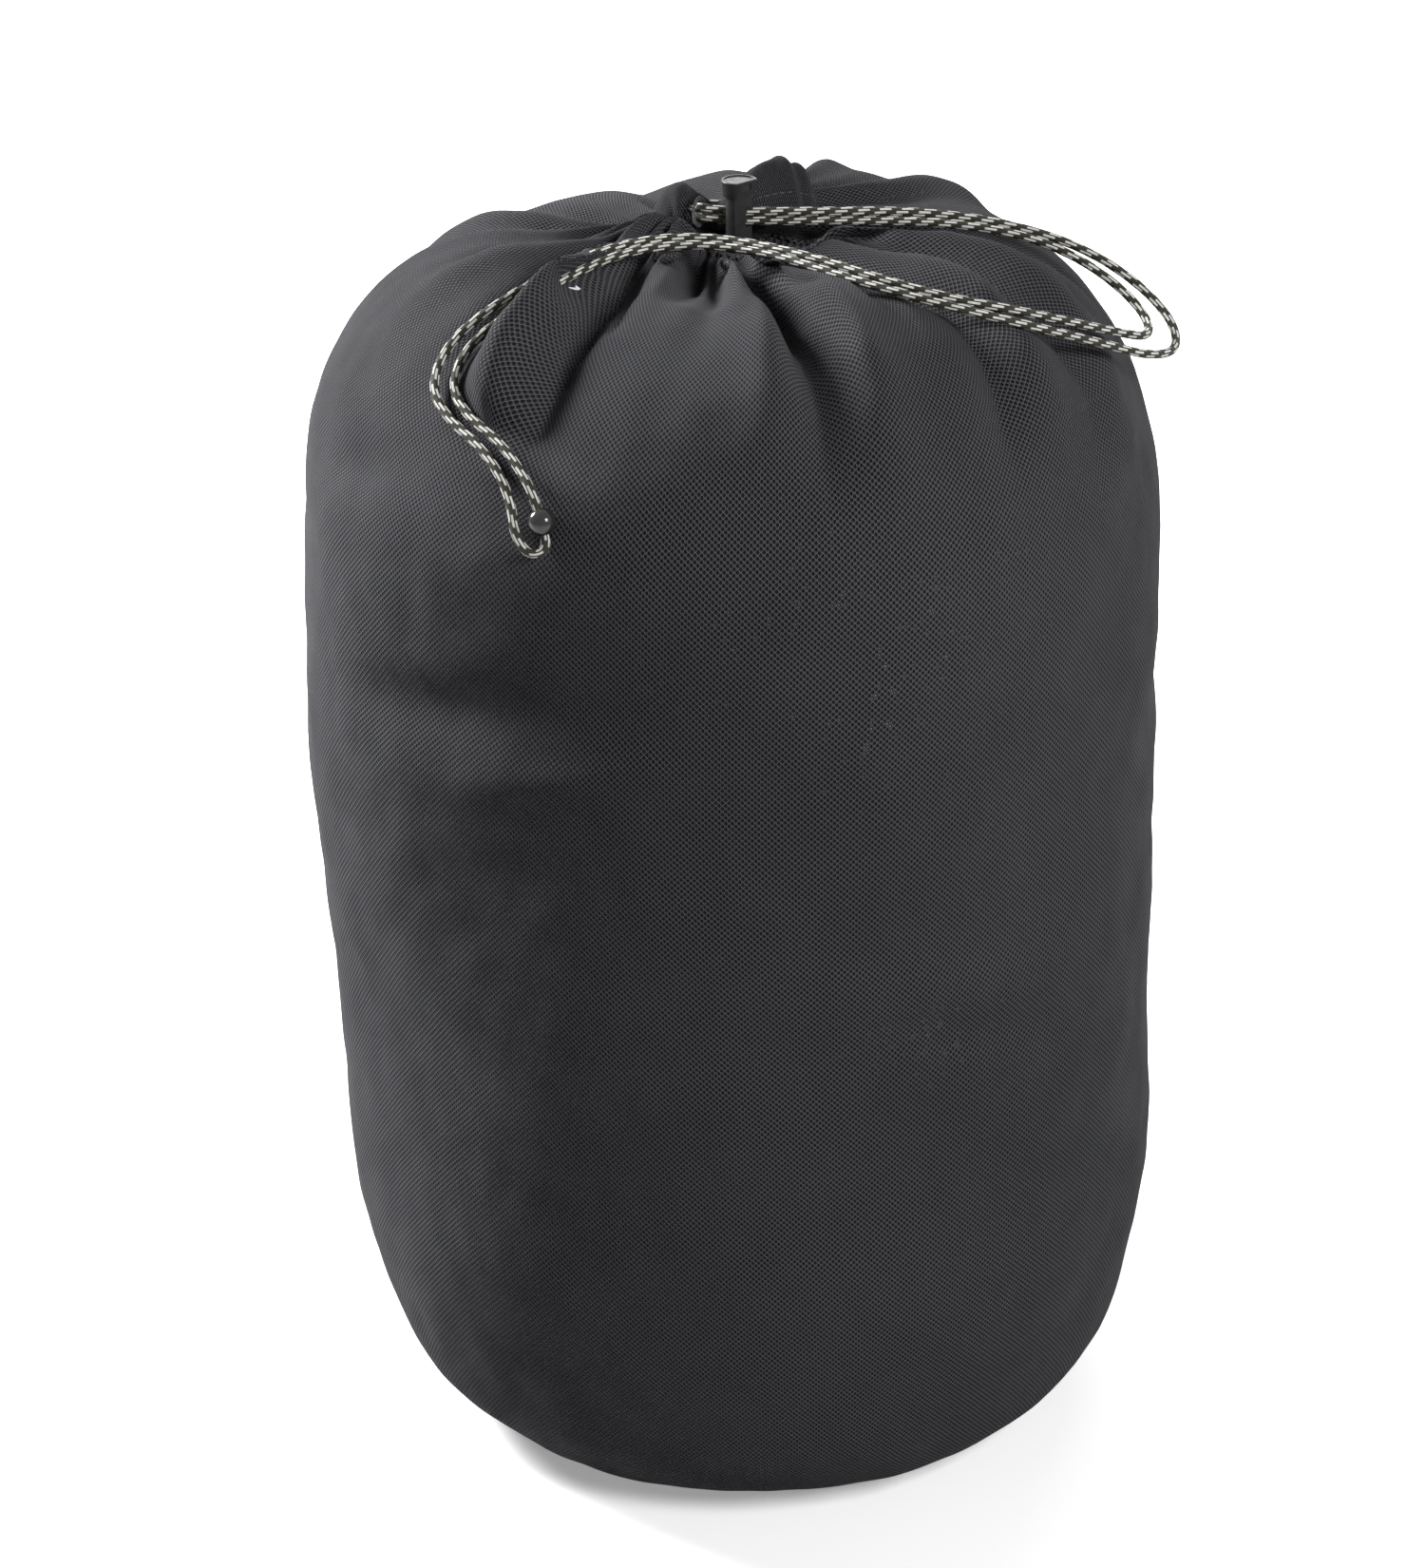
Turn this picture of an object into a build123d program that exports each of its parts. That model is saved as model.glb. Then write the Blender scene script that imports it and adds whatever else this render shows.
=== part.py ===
from build123d import *
from math import atan, atan2, cos, degrees, hypot, pi, radians, sin, tan
import os

os.makedirs("parts", exist_ok=True)

# A stuffed mesh sack that stands on its base, its mouth drawn shut by a cord with a spring lock.
# Millimetres. +Z is up, the origin is the middle of the base on the ground, -Y is the front.

# ------------------------------------------------------------------ driving sizes: the sack
SACK_RADIUS = 150.0  # at its widest
CROWN_HEIGHT = 443.0  # ground to the highest ring of the dome
CLOTH = 1.2  # thickness of the puffy knit
BASE_SEAM_RADIUS = 88.0  # the flat of the base ends at its seam
BASE_TURN_LARGEST = 52.0  # radius of the tight part of the turn from base to wall
BASE_TURN_SHARE = 0.85  # and at most this much of the way from the seam to the wall
BASE_TURN_ANGLE = 74.0
SHOULDER_RADIUS = 90.0  # gentle part of the shoulder
SHOULDER_ANGLE = 45.0
CROWN_RADIUS = 80.0  # where the shoulder ends and the dome is level
WELL_RIM_RADIUS = 40.0  # the dome dips around the gather
WELL_FLOOR_RADIUS = 24.0
WELL_DEPTH = 6.0

# ------------------------------------------------------------------ driving sizes: the seams
SEAM_GAP = 0.2  # between cloth edges that are sewn together
SOFT_GAP = 0.3  # around the stuffing
TAPE_WIDTH = 7.0
TAPE_LAP = 2.0  # how far the base tape reaches past its seam
TAPE = 0.8  # thickness of the binding
THREAD = 0.6  # diameter of the sewing thread, as a row
LAYER_GAP = 0.1  # between binding, thread and cloth
SIDE_SEAM_WIDTH = 10.0
SIDE_SEAM_FOOT = 6.0  # height at which the side seam starts
SIDE_SEAM_TOP_RADIUS = 46.0  # how near the middle it runs over the dome

# ------------------------------------------------------------------ driving sizes: hem and cord
CORD = 3.0  # diameter
HEM_X, HEM_Y = -27.0, 16.0  # middle of the bunched hem
HEM_RADIUS = 15.0
HEM_HEIGHT = 16.7
HEM_ROUND = 3.0
HEM_LOOP_RADIUS = 10.5  # corners of the cord's loop inside the hem
HEM_LOOP_SIDES = 8
CORD_CLEARANCE = 0.3  # around the cord wherever it runs in a channel
STRAND_GAP = 0.2  # the strands pass the lock one over the other, this far apart
BUTTONHOLE_BORDER = 1.5
BUTTONHOLE_PROUD = 1.0

# ------------------------------------------------------------------ driving sizes: the cord lock
LOCK_X, LOCK_Y = -3.0, 0.0  # axis of the plunger
LOCK_FACE_ANGLE = -45.0  # the flat side looks forward and to the right
STEM_RADIUS = 2.6
STEM_FIT = 0.1
BARREL_SIDE_WALL = 2.0  # around the bore
BARREL_FLAT_WALL = 0.7  # at the flat side
BARREL_BACK_WALL = 0.95  # opposite the flat side
BARREL_STAND = 1.6  # well floor to the foot of the barrel
BARREL_BELOW_HOLE = 8.5  # foot of the barrel to the cord's hole
BARREL_ABOVE_HOLE = 5.0
BARREL_FLOOR = 1.2
PLUNGER_TRAVEL = 3.0
PINCH_GAP = 0.2  # cord to the lower edge of the plunger's window
WINDOW_SILL = 1.6
SKIRT_GAP = 0.25
SKIRT_WALL = 0.75
SKIRT_OVERLAP = 0.8
TRAVEL_SPARE = 0.3
CAP_ROOF = 1.5
CAP_FLARE = 6.0  # degrees
DISH_BORDER = 0.9
DISH_DEPTH = 0.45
GRIP_WIDTH, GRIP_HEIGHT, GRIP_DEPTH = 4.0, 2.2, 0.4  # recess for a fingernail in the flat side
GRIP_DROP = 2.3  # top of the cap to the middle of the recess
BARREL_CORNER = 0.8
CAP_CORNER = 1.2
CAP_EDGE = 0.35
DISH_CORNER = 0.6
BARREL_CHAMFER = 0.4
SPRING_WIRE = 0.45
SPRING_CLEARANCE = 0.575  # around the spring in its bore
SPRING_PITCH = 1.2

# ------------------------------------------------------------------ driving sizes: the ball end
BEAD_RADIUS = 4.6
BEAD_AT = (-65.0, -136.5, 390.0)
BEAD_AXIS = (0.300, -0.210, -0.931)  # the way the hole runs, downwards
BEAD_MOUTH = 0.4  # the strands stop this far apart in the ball

# ------------------------------------------------------------------ heights at the lock
STRAND_DROP = CORD + STRAND_GAP
HOLE_WIDTH = CORD + 2 * CORD_CLEARANCE
HOLE_HEIGHT = CORD + STRAND_DROP + 2 * CORD_CLEARANCE
BARREL_FOOT = CROWN_HEIGHT - WELL_DEPTH + BARREL_STAND
STRAND_MIDDLE = BARREL_FOOT + BARREL_BELOW_HOLE + HOLE_HEIGHT / 2
BARREL_HEIGHT = BARREL_BELOW_HOLE + HOLE_HEIGHT + BARREL_ABOVE_HOLE

# ------------------------------------------------------------------ the strands' routes
# Strand a is the upper one in the lock, and the outer one of the loop at the right.
UPPER = STRAND_MIDDLE + STRAND_DROP / 2
LOWER = STRAND_MIDDLE - STRAND_DROP / 2
LOCK_LINE = (-10.5, 0.0)  # here the strands, straight out of the hem, turn along the lock's hole
LOCK_LINE_DISTANCE = hypot(LOCK_LINE[0] - HEM_X, LOCK_LINE[1] - HEM_Y)
EXIT_POINT = (
    HEM_X + (LOCK_LINE[0] - HEM_X) * HEM_RADIUS / LOCK_LINE_DISTANCE,
    HEM_Y + (LOCK_LINE[1] - HEM_Y) * HEM_RADIUS / LOCK_LINE_DISTANCE,
)

STRAND_A = [
    (EXIT_POINT[0], EXIT_POINT[1], UPPER),
    (LOCK_LINE[0], LOCK_LINE[1], UPPER),
    (29, 0, UPPER), (51, 8, 450), (74, 9, 448), (98, 7, 444), (119, 3, 437),
    (136, -3, 427), (147, -14, 417), (147, -30, 412), (136, -45, 415), (118, -58, 424),
    (98, -71, 433), (75, -78, 441), (52, -75, 446), (29, -58, 448), (7, -38, 449),
    (-14, -28, 449), (-34, -32, 449), (-50, -46, 448), (-66, -66, 445), (-81, -78, 438),
    (-92, -85, 430), (-96, -94, 420), (-89, -106, 414), (-79, -117, 410), (-72, -127, 404),
    (-67.7, -134.6, 398.4),
]
STRAND_B = [
    (EXIT_POINT[0], EXIT_POINT[1], LOWER),
    (LOCK_LINE[0], LOCK_LINE[1], LOWER),
    (29, 0, LOWER), (50, 3, 448), (72, 3, 447), (95, 0, 444), (113, -5, 438),
    (128, -11, 429), (137, -20, 421), (137, -34, 418), (125, -47, 424), (107, -60, 432),
    (88, -69, 439), (66, -72, 444), (44, -64, 448), (22, -46, 450), (0, -29, 450),
    (-16, -23, 450), (-34, -26, 450), (-52, -40, 449), (-68, -61, 447), (-85, -73, 440),
    (-98, -79, 430), (-103, -90, 419), (-96, -102, 412), (-86, -114, 408), (-79, -124, 402),
    (-75, -131, 394), (-74, -136, 386), (-69.5, -140, 379.5), (-62.3, -138.4, 381.6),
]

# ------------------------------------------------------------------ worked out from them
BASE_TURN_RADIUS = min(BASE_TURN_LARGEST, BASE_TURN_SHARE * (SACK_RADIUS - BASE_SEAM_RADIUS))
BASE_WALL_RADIUS = (
    SACK_RADIUS - BASE_SEAM_RADIUS - BASE_TURN_RADIUS * sin(radians(BASE_TURN_ANGLE))
) / (1 - sin(radians(BASE_TURN_ANGLE)))
SHOULDER_INNER_RADIUS = (
    SACK_RADIUS - SHOULDER_RADIUS * (1 - cos(radians(SHOULDER_ANGLE))) - CROWN_RADIUS
) / cos(radians(SHOULDER_ANGLE))
SHOULDER_RISE = SHOULDER_RADIUS * sin(radians(SHOULDER_ANGLE)) + SHOULDER_INNER_RADIUS * (
    1 - sin(radians(SHOULDER_ANGLE))
)
WALL_TOP = CROWN_HEIGHT - SHOULDER_RISE
WELL_ANGLE = 2 * atan(WELL_DEPTH / (WELL_RIM_RADIUS - WELL_FLOOR_RADIUS))
WELL_BEND = (WELL_RIM_RADIUS - WELL_FLOOR_RADIUS) / 2 / sin(WELL_ANGLE)

CONTENTS_INSET = CLOTH + SOFT_GAP
TAPE_OUT = CLOTH + LAYER_GAP
TAPE_IN = TAPE_OUT + TAPE
THREAD_OUT = TAPE_IN + LAYER_GAP
THREAD_IN = THREAD_OUT + THREAD
SEAM_STACK = THREAD_IN + SOFT_GAP

HEM_FOOT = CROWN_HEIGHT + SOFT_GAP
EXIT_AZIMUTH = degrees(atan2(EXIT_POINT[1] - HEM_Y, EXIT_POINT[0] - HEM_X))

BORE_RADIUS = STEM_RADIUS + STEM_FIT
BARREL_RADIUS = BORE_RADIUS + BARREL_SIDE_WALL
BARREL_FLAT = BORE_RADIUS + BARREL_FLAT_WALL  # plunger axis to the flat side
BARREL_OFFSET = BARREL_RADIUS - BORE_RADIUS - BARREL_BACK_WALL  # plunger axis to the round side's
SPRING_RADIUS = BORE_RADIUS - SPRING_CLEARANCE - SPRING_WIRE / 2
BARREL_TOP = BARREL_FOOT + BARREL_HEIGHT
SKIRT_FOOT = BARREL_TOP - SKIRT_OVERLAP
ROOF_UNDERSIDE = BARREL_TOP + PLUNGER_TRAVEL + TRAVEL_SPARE
CAP_TOP = ROOF_UNDERSIDE + CAP_ROOF
WINDOW_FOOT = LOWER - CORD / 2 - PINCH_GAP
WINDOW_TOP = UPPER + CORD / 2 + PLUNGER_TRAVEL + CORD_CLEARANCE
STEM_FOOT = WINDOW_FOOT - WINDOW_SILL
SPRING_SEAT = BARREL_FOOT + BARREL_FLOOR


# ------------------------------------------------------------------ the sack's outline
def wall_line(inset):
    """Half outline of the wall and dome, moved inwards by inset. Returns its two ends."""
    foot = JernArc(
        (BASE_SEAM_RADIUS, inset), (1, 0), BASE_TURN_RADIUS - inset, BASE_TURN_ANGLE
    )
    swell = JernArc(foot @ 1, foot % 1, BASE_WALL_RADIUS - inset, 90 - BASE_TURN_ANGLE)
    side = Line(swell @ 1, (SACK_RADIUS - inset, WALL_TOP))
    shoulder = JernArc(side @ 1, (0, 1), SHOULDER_RADIUS - inset, SHOULDER_ANGLE)
    turn = JernArc(shoulder @ 1, shoulder % 1, SHOULDER_INNER_RADIUS - inset, 90 - SHOULDER_ANGLE)
    crown = Line(turn @ 1, (WELL_RIM_RADIUS, CROWN_HEIGHT - inset))
    dip = JernArc(crown @ 1, (-1, 0), WELL_BEND - inset, degrees(WELL_ANGLE))
    hollow = JernArc(dip @ 1, dip % 1, WELL_BEND + inset, -degrees(WELL_ANGLE))
    middle = (0, CROWN_HEIGHT - WELL_DEPTH - inset)
    Line(hollow @ 1, middle)
    return foot @ 0, Vector(*middle)


def shell(outer, inner):
    """The wall and dome as a layer between two insets."""
    with BuildPart() as layer:
        with BuildSketch(Plane.XZ):
            with BuildLine():
                outer_foot, outer_top = wall_line(outer)
                inner_foot, inner_top = wall_line(inner)
                Line(outer_foot, inner_foot)
                Line(outer_top, inner_top)
            make_face()
        revolve(axis=Axis.Z)
    return layer.part


def seam_strip(outer, inner, width):
    """A strip of the layer between two insets, up the back of the sack."""
    length = SACK_RADIUS - SIDE_SEAM_TOP_RADIUS
    with BuildPart() as strip:
        add(shell(outer, inner))
        with BuildSketch(Plane.XY.offset(SIDE_SEAM_FOOT)):
            with Locations((0, SIDE_SEAM_TOP_RADIUS + length / 2)):
                Rectangle(width, length)
        extrude(amount=CROWN_HEIGHT, mode=Mode.INTERSECT)
    return strip.part


def ring(inner_radius, outer_radius, foot, height):
    with BuildPart() as band:
        with BuildSketch(Plane.XY.offset(foot)):
            Circle(outer_radius)
            Circle(inner_radius, mode=Mode.SUBTRACT)
        extrude(amount=height)
    return band.part


# ------------------------------------------------------------------ cloth
with BuildPart() as side_panel:
    add(shell(0, CLOTH))

with BuildPart() as base_panel:
    with BuildSketch():
        Circle(BASE_SEAM_RADIUS - SEAM_GAP)
    extrude(amount=CLOTH)

# ------------------------------------------------------------------ seams
with BuildPart() as base_seam_tape:
    add(
        ring(
            BASE_SEAM_RADIUS + TAPE_LAP - TAPE_WIDTH,
            BASE_SEAM_RADIUS + TAPE_LAP,
            TAPE_OUT,
            TAPE,
        )
    )

with BuildPart() as base_seam_stitches:
    with BuildSketch(Plane.XZ):
        with Locations((BASE_SEAM_RADIUS, THREAD_OUT + THREAD / 2)):
            Circle(THREAD / 2)
    revolve(axis=Axis.Z)

with BuildPart() as side_seam_tape:
    add(seam_strip(TAPE_OUT, TAPE_IN, SIDE_SEAM_WIDTH))

with BuildPart() as side_seam_stitches:
    add(seam_strip(THREAD_OUT, THREAD_IN, THREAD))

# ------------------------------------------------------------------ stuffing
# One soft bundle that fills the sack, with room left for both seams.
with BuildPart() as stuffed_contents:
    with BuildSketch(Plane.XZ):
        with BuildLine():
            foot, top = wall_line(CONTENTS_INSET)
            Line(foot, (0, CONTENTS_INSET))
            Line((0, CONTENTS_INSET), top)
        make_face()
    revolve(axis=Axis.Z)
    add(seam_strip(CLOTH, SEAM_STACK, SIDE_SEAM_WIDTH + 2 * SOFT_GAP), mode=Mode.SUBTRACT)
    add(
        ring(
            BASE_SEAM_RADIUS + TAPE_LAP - TAPE_WIDTH - SOFT_GAP,
            BASE_SEAM_RADIUS + TAPE_LAP + SOFT_GAP,
            CLOTH,
            SEAM_STACK - CLOTH,
        ),
        mode=Mode.SUBTRACT,
    )

# ------------------------------------------------------------------ the hem
exit_plane = Plane(
    origin=(HEM_X, HEM_Y, STRAND_MIDDLE),
    x_dir=(-sin(radians(EXIT_AZIMUTH)), cos(radians(EXIT_AZIMUTH)), 0),
    z_dir=(cos(radians(EXIT_AZIMUTH)), sin(radians(EXIT_AZIMUTH)), 0),
)
loop_inradius = HEM_LOOP_RADIUS * cos(radians(180 / HEM_LOOP_SIDES))
channel_inner = loop_inradius - CORD / 2 - CORD_CLEARANCE
channel_outer = HEM_LOOP_RADIUS + CORD / 2 + CORD_CLEARANCE

with BuildPart() as hem_casing:
    with BuildSketch(Plane.XY.offset(HEM_FOOT)):
        with Locations((HEM_X, HEM_Y)):
            Circle(HEM_RADIUS)
    extrude(amount=HEM_HEIGHT)
    fillet(hem_casing.edges().group_by(Axis.Z)[-1], radius=HEM_ROUND)
    with BuildSketch(Plane.XY.offset(STRAND_MIDDLE - HOLE_HEIGHT / 2)):
        with Locations((HEM_X, HEM_Y)):
            Circle(channel_outer)
            Circle(channel_inner, mode=Mode.SUBTRACT)
    extrude(amount=HOLE_HEIGHT, mode=Mode.SUBTRACT)
    with BuildSketch(exit_plane.offset(loop_inradius)):
        Rectangle(HOLE_WIDTH, HOLE_HEIGHT)
    extrude(amount=HEM_RADIUS, mode=Mode.SUBTRACT)

with BuildPart() as hem_stitches:
    with BuildSketch(Plane(origin=(HEM_X, HEM_Y, 0), z_dir=(0, -1, 0), x_dir=(1, 0, 0))):
        with Locations((HEM_RADIUS + LAYER_GAP + THREAD / 2, HEM_FOOT + HEM_ROUND / 2)):
            Circle(THREAD / 2)
    revolve(axis=Axis((HEM_X, HEM_Y, 0), (0, 0, 1)))

with BuildPart() as exit_buttonhole:
    with BuildSketch(exit_plane.offset(HEM_RADIUS + LAYER_GAP)):
        SlotOverall(
            HOLE_HEIGHT + 2 * BUTTONHOLE_BORDER, HOLE_WIDTH + 2 * BUTTONHOLE_BORDER, rotation=90
        )
        Rectangle(HOLE_WIDTH, HOLE_HEIGHT, mode=Mode.SUBTRACT)
    extrude(amount=BUTTONHOLE_PROUD)


# ------------------------------------------------------------------ cord
def corner_radii(points):
    """Each corner's arc takes up 0.45 of the shorter run beside it."""
    corners = [Vector(*point) for point in points]
    radii = []
    for before, corner, after in zip(corners, corners[1:], corners[2:]):
        turn = radians((corner - before).get_angle(after - corner))
        shorter = min((corner - before).length, (after - corner).length)
        radii.append(0.45 * shorter / tan(turn / 2))
    return radii


def cord_tube(name, points):
    radii = corner_radii(points)
    with BuildPart() as tube:
        with BuildLine() as route:
            FilletPolyline(*points, radius=radii)
        with BuildSketch(Plane(origin=route.line @ 0, z_dir=route.line % 0)):
            Circle(CORD / 2)
        sweep()
    length = route.wire().length
    swept = pi * (CORD / 2) ** 2 * length
    print(name, "length", round(length, 1), "radii", [round(radius, 1) for radius in radii])
    print(name, "volume over section times length", round(tube.part.volume / swept, 4))
    return tube.part


def along_bead(distance):
    """A point on the axis of the ball's hole."""
    length = Vector(*BEAD_AXIS).length
    return tuple(at + distance * part / length for at, part in zip(BEAD_AT, BEAD_AXIS))


def hem_loop():
    """In at the exit, once round the hem, and out again one strand lower."""
    def at(radius, azimuth, height):
        turn = radians(azimuth)
        return (HEM_X + radius * cos(turn), HEM_Y + radius * sin(turn), height)

    points = [at(HEM_RADIUS, EXIT_AZIMUTH, UPPER)]
    for side in range(HEM_LOOP_SIDES + 1):
        share = side / HEM_LOOP_SIDES
        points.append(at(HEM_LOOP_RADIUS, EXIT_AZIMUTH + 360 * share, UPPER - STRAND_DROP * share))
    points.append(at(HEM_RADIUS, EXIT_AZIMUTH, LOWER))
    return points


with BuildPart() as drawcord_in_hem:
    add(cord_tube("drawcord_in_hem", hem_loop()))

with BuildPart() as tail_strand_a:
    add(cord_tube("tail_strand_a", STRAND_A + [along_bead(-BEAD_MOUTH / 2)]))

with BuildPart() as tail_strand_b:
    add(cord_tube("tail_strand_b", STRAND_B + [along_bead(BEAD_MOUTH / 2)]))

with BuildPart() as end_bead:
    with Locations(BEAD_AT):
        Sphere(BEAD_RADIUS)
    with BuildSketch(Plane(origin=along_bead(-BEAD_RADIUS), z_dir=BEAD_AXIS)):
        Circle(CORD / 2 + CORD_CLEARANCE)
    extrude(amount=2 * BEAD_RADIUS, mode=Mode.SUBTRACT)


# ------------------------------------------------------------------ cord lock
def lock_outline(height, growth, corner):
    """The lock's plan: a round side cut by one flat, grown outwards, with rounded corners."""
    turn = radians(LOCK_FACE_ANGLE)
    face = Plane(origin=(LOCK_X, LOCK_Y, height), x_dir=(cos(turn), sin(turn), 0), z_dir=(0, 0, 1))
    half = 2 * BARREL_RADIUS
    with BuildSketch(face) as outline:
        with Locations((BARREL_OFFSET, 0)):
            Circle(BARREL_RADIUS + growth)
        with Locations((BARREL_FLAT + growth + half, 0)):
            Rectangle(2 * half, 4 * half, mode=Mode.SUBTRACT)
        fillet(outline.vertices(), radius=corner)
    return outline.sketch


skirt_growth = SKIRT_GAP + SKIRT_WALL
flare = (CAP_TOP - SKIRT_FOOT) * tan(radians(CAP_FLARE))

lock_turn = radians(LOCK_FACE_ANGLE)
grip_height = CAP_TOP - GRIP_DROP
grip_face = BARREL_FLAT + skirt_growth + (grip_height - SKIRT_FOOT) * tan(radians(CAP_FLARE))
grip_plane = Plane(
    origin=(
        LOCK_X + (grip_face - GRIP_DEPTH) * cos(lock_turn),
        LOCK_Y + (grip_face - GRIP_DEPTH) * sin(lock_turn),
        grip_height,
    ),
    x_dir=(-sin(lock_turn), cos(lock_turn), 0),
    z_dir=(cos(lock_turn), sin(lock_turn), 0),
)
through_lock = Plane(
    origin=(LOCK_X, LOCK_Y, STRAND_MIDDLE), x_dir=(0, 1, 0), z_dir=(1, 0, 0)
)

with BuildPart() as lock_barrel:
    extrude(lock_outline(BARREL_FOOT, 0, BARREL_CORNER), amount=BARREL_HEIGHT)
    chamfer(lock_barrel.faces().sort_by(Axis.Z)[0].edges(), length=BARREL_CHAMFER)
    with BuildSketch(Plane.XY.offset(SPRING_SEAT)):
        with Locations((LOCK_X, LOCK_Y)):
            Circle(BORE_RADIUS)
    extrude(amount=BARREL_HEIGHT, mode=Mode.SUBTRACT)
    with BuildSketch(through_lock):
        Rectangle(HOLE_WIDTH, HOLE_HEIGHT)
    extrude(amount=3 * BARREL_RADIUS, both=True, mode=Mode.SUBTRACT)

with BuildPart() as lock_plunger:
    extrude(
        lock_outline(SKIRT_FOOT, skirt_growth, CAP_CORNER),
        amount=CAP_TOP - SKIRT_FOOT,
        taper=-CAP_FLARE,
    )
    fillet(lock_plunger.faces().sort_by(Axis.Z)[-1].edges(), radius=CAP_EDGE)
    extrude(
        lock_outline(CAP_TOP - DISH_DEPTH, skirt_growth + flare - DISH_BORDER, DISH_CORNER),
        amount=CAP_ROOF,
        mode=Mode.SUBTRACT,
    )
    extrude(
        lock_outline(SKIRT_FOOT, SKIRT_GAP, BARREL_CORNER),
        amount=ROOF_UNDERSIDE - SKIRT_FOOT,
        mode=Mode.SUBTRACT,
    )
    with BuildSketch(Plane.XY.offset(STEM_FOOT)):
        with Locations((LOCK_X, LOCK_Y)):
            Circle(STEM_RADIUS)
    extrude(amount=ROOF_UNDERSIDE - STEM_FOOT)
    with BuildSketch(through_lock):
        with Locations((0, (WINDOW_FOOT + WINDOW_TOP) / 2 - STRAND_MIDDLE)):
            Rectangle(HOLE_WIDTH, WINDOW_TOP - WINDOW_FOOT)
    extrude(amount=STEM_RADIUS, both=True, mode=Mode.SUBTRACT)
    with BuildSketch(grip_plane):
        Rectangle(GRIP_WIDTH, GRIP_HEIGHT)
    extrude(amount=2 * GRIP_DEPTH, mode=Mode.SUBTRACT)

with BuildPart() as lock_spring:
    with BuildLine() as coil:
        Helix(
            SPRING_PITCH,
            STEM_FOOT - SPRING_SEAT - SPRING_WIRE - 2 * LAYER_GAP,
            SPRING_RADIUS,
            center=(LOCK_X, LOCK_Y, SPRING_SEAT + LAYER_GAP + SPRING_WIRE / 2),
        )
    with BuildSketch(Plane(origin=coil.line @ 0, z_dir=coil.line % 0)):
        Circle(SPRING_WIRE / 2)
    sweep()

# ------------------------------------------------------------------ write the pieces
pieces = {
    "side_panel": side_panel,
    "base_panel": base_panel,
    "base_seam_tape": base_seam_tape,
    "base_seam_stitches": base_seam_stitches,
    "side_seam_tape": side_seam_tape,
    "side_seam_stitches": side_seam_stitches,
    "stuffed_contents": stuffed_contents,
    "hem_casing": hem_casing,
    "hem_stitches": hem_stitches,
    "exit_buttonhole": exit_buttonhole,
    "drawcord_in_hem": drawcord_in_hem,
    "tail_strand_a": tail_strand_a,
    "tail_strand_b": tail_strand_b,
    "end_bead": end_bead,
    "lock_barrel": lock_barrel,
    "lock_plunger": lock_plunger,
    "lock_spring": lock_spring,
}
for name, piece in pieces.items():
    piece.part.label = name
    export_step(piece.part, f"parts/{name}.step")
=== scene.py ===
import math

import bpy
import numpy as np
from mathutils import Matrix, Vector, noise
from mathutils.kdtree import KDTree


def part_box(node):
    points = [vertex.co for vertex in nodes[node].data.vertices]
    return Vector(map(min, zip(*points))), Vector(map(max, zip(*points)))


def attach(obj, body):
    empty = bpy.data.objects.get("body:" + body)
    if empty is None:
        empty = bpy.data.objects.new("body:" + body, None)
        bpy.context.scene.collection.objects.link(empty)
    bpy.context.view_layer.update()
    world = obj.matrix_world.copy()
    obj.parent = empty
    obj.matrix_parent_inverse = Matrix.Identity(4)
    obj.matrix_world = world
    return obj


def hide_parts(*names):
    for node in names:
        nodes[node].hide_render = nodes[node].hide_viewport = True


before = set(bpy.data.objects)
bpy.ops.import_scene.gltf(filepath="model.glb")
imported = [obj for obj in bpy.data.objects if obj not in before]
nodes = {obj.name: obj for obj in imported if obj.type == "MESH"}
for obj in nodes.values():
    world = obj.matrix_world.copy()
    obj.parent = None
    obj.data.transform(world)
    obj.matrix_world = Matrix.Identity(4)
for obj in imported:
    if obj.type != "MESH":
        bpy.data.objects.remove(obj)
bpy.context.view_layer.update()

# A stuffed mesh drawcord sack. Metres, in the frame's axes: +Z up, -Y the front.
scene = bpy.context.scene
scene.view_settings.view_transform = "Standard"
rng = np.random.default_rng(7)


# ------------------------------------------------------------------ camera
CAMERA_DISTANCE = 1.5
CAMERA_TARGET = Vector((0, 0, 0.23))
CAMERA_ELEVATION = math.radians(24.5)
LENS = 94.3
SENSOR = 36.0
SHIFT_X = -35 / 1650  # the sack stands a little right of the middle of the picture
SHIFT_Y = 18 / 1650


def make_camera():
    data = bpy.data.cameras.new("camera")
    data.lens = LENS
    data.sensor_width = SENSOR
    data.shift_x, data.shift_y = SHIFT_X, SHIFT_Y
    camera = bpy.data.objects.new("camera", data)
    scene.collection.objects.link(camera)
    camera.location = CAMERA_TARGET + CAMERA_DISTANCE * Vector(
        (0, -math.cos(CAMERA_ELEVATION), math.sin(CAMERA_ELEVATION))
    )
    camera.rotation_euler = (math.pi / 2 - CAMERA_ELEVATION, 0, 0)
    scene.camera = camera


make_camera()


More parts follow.
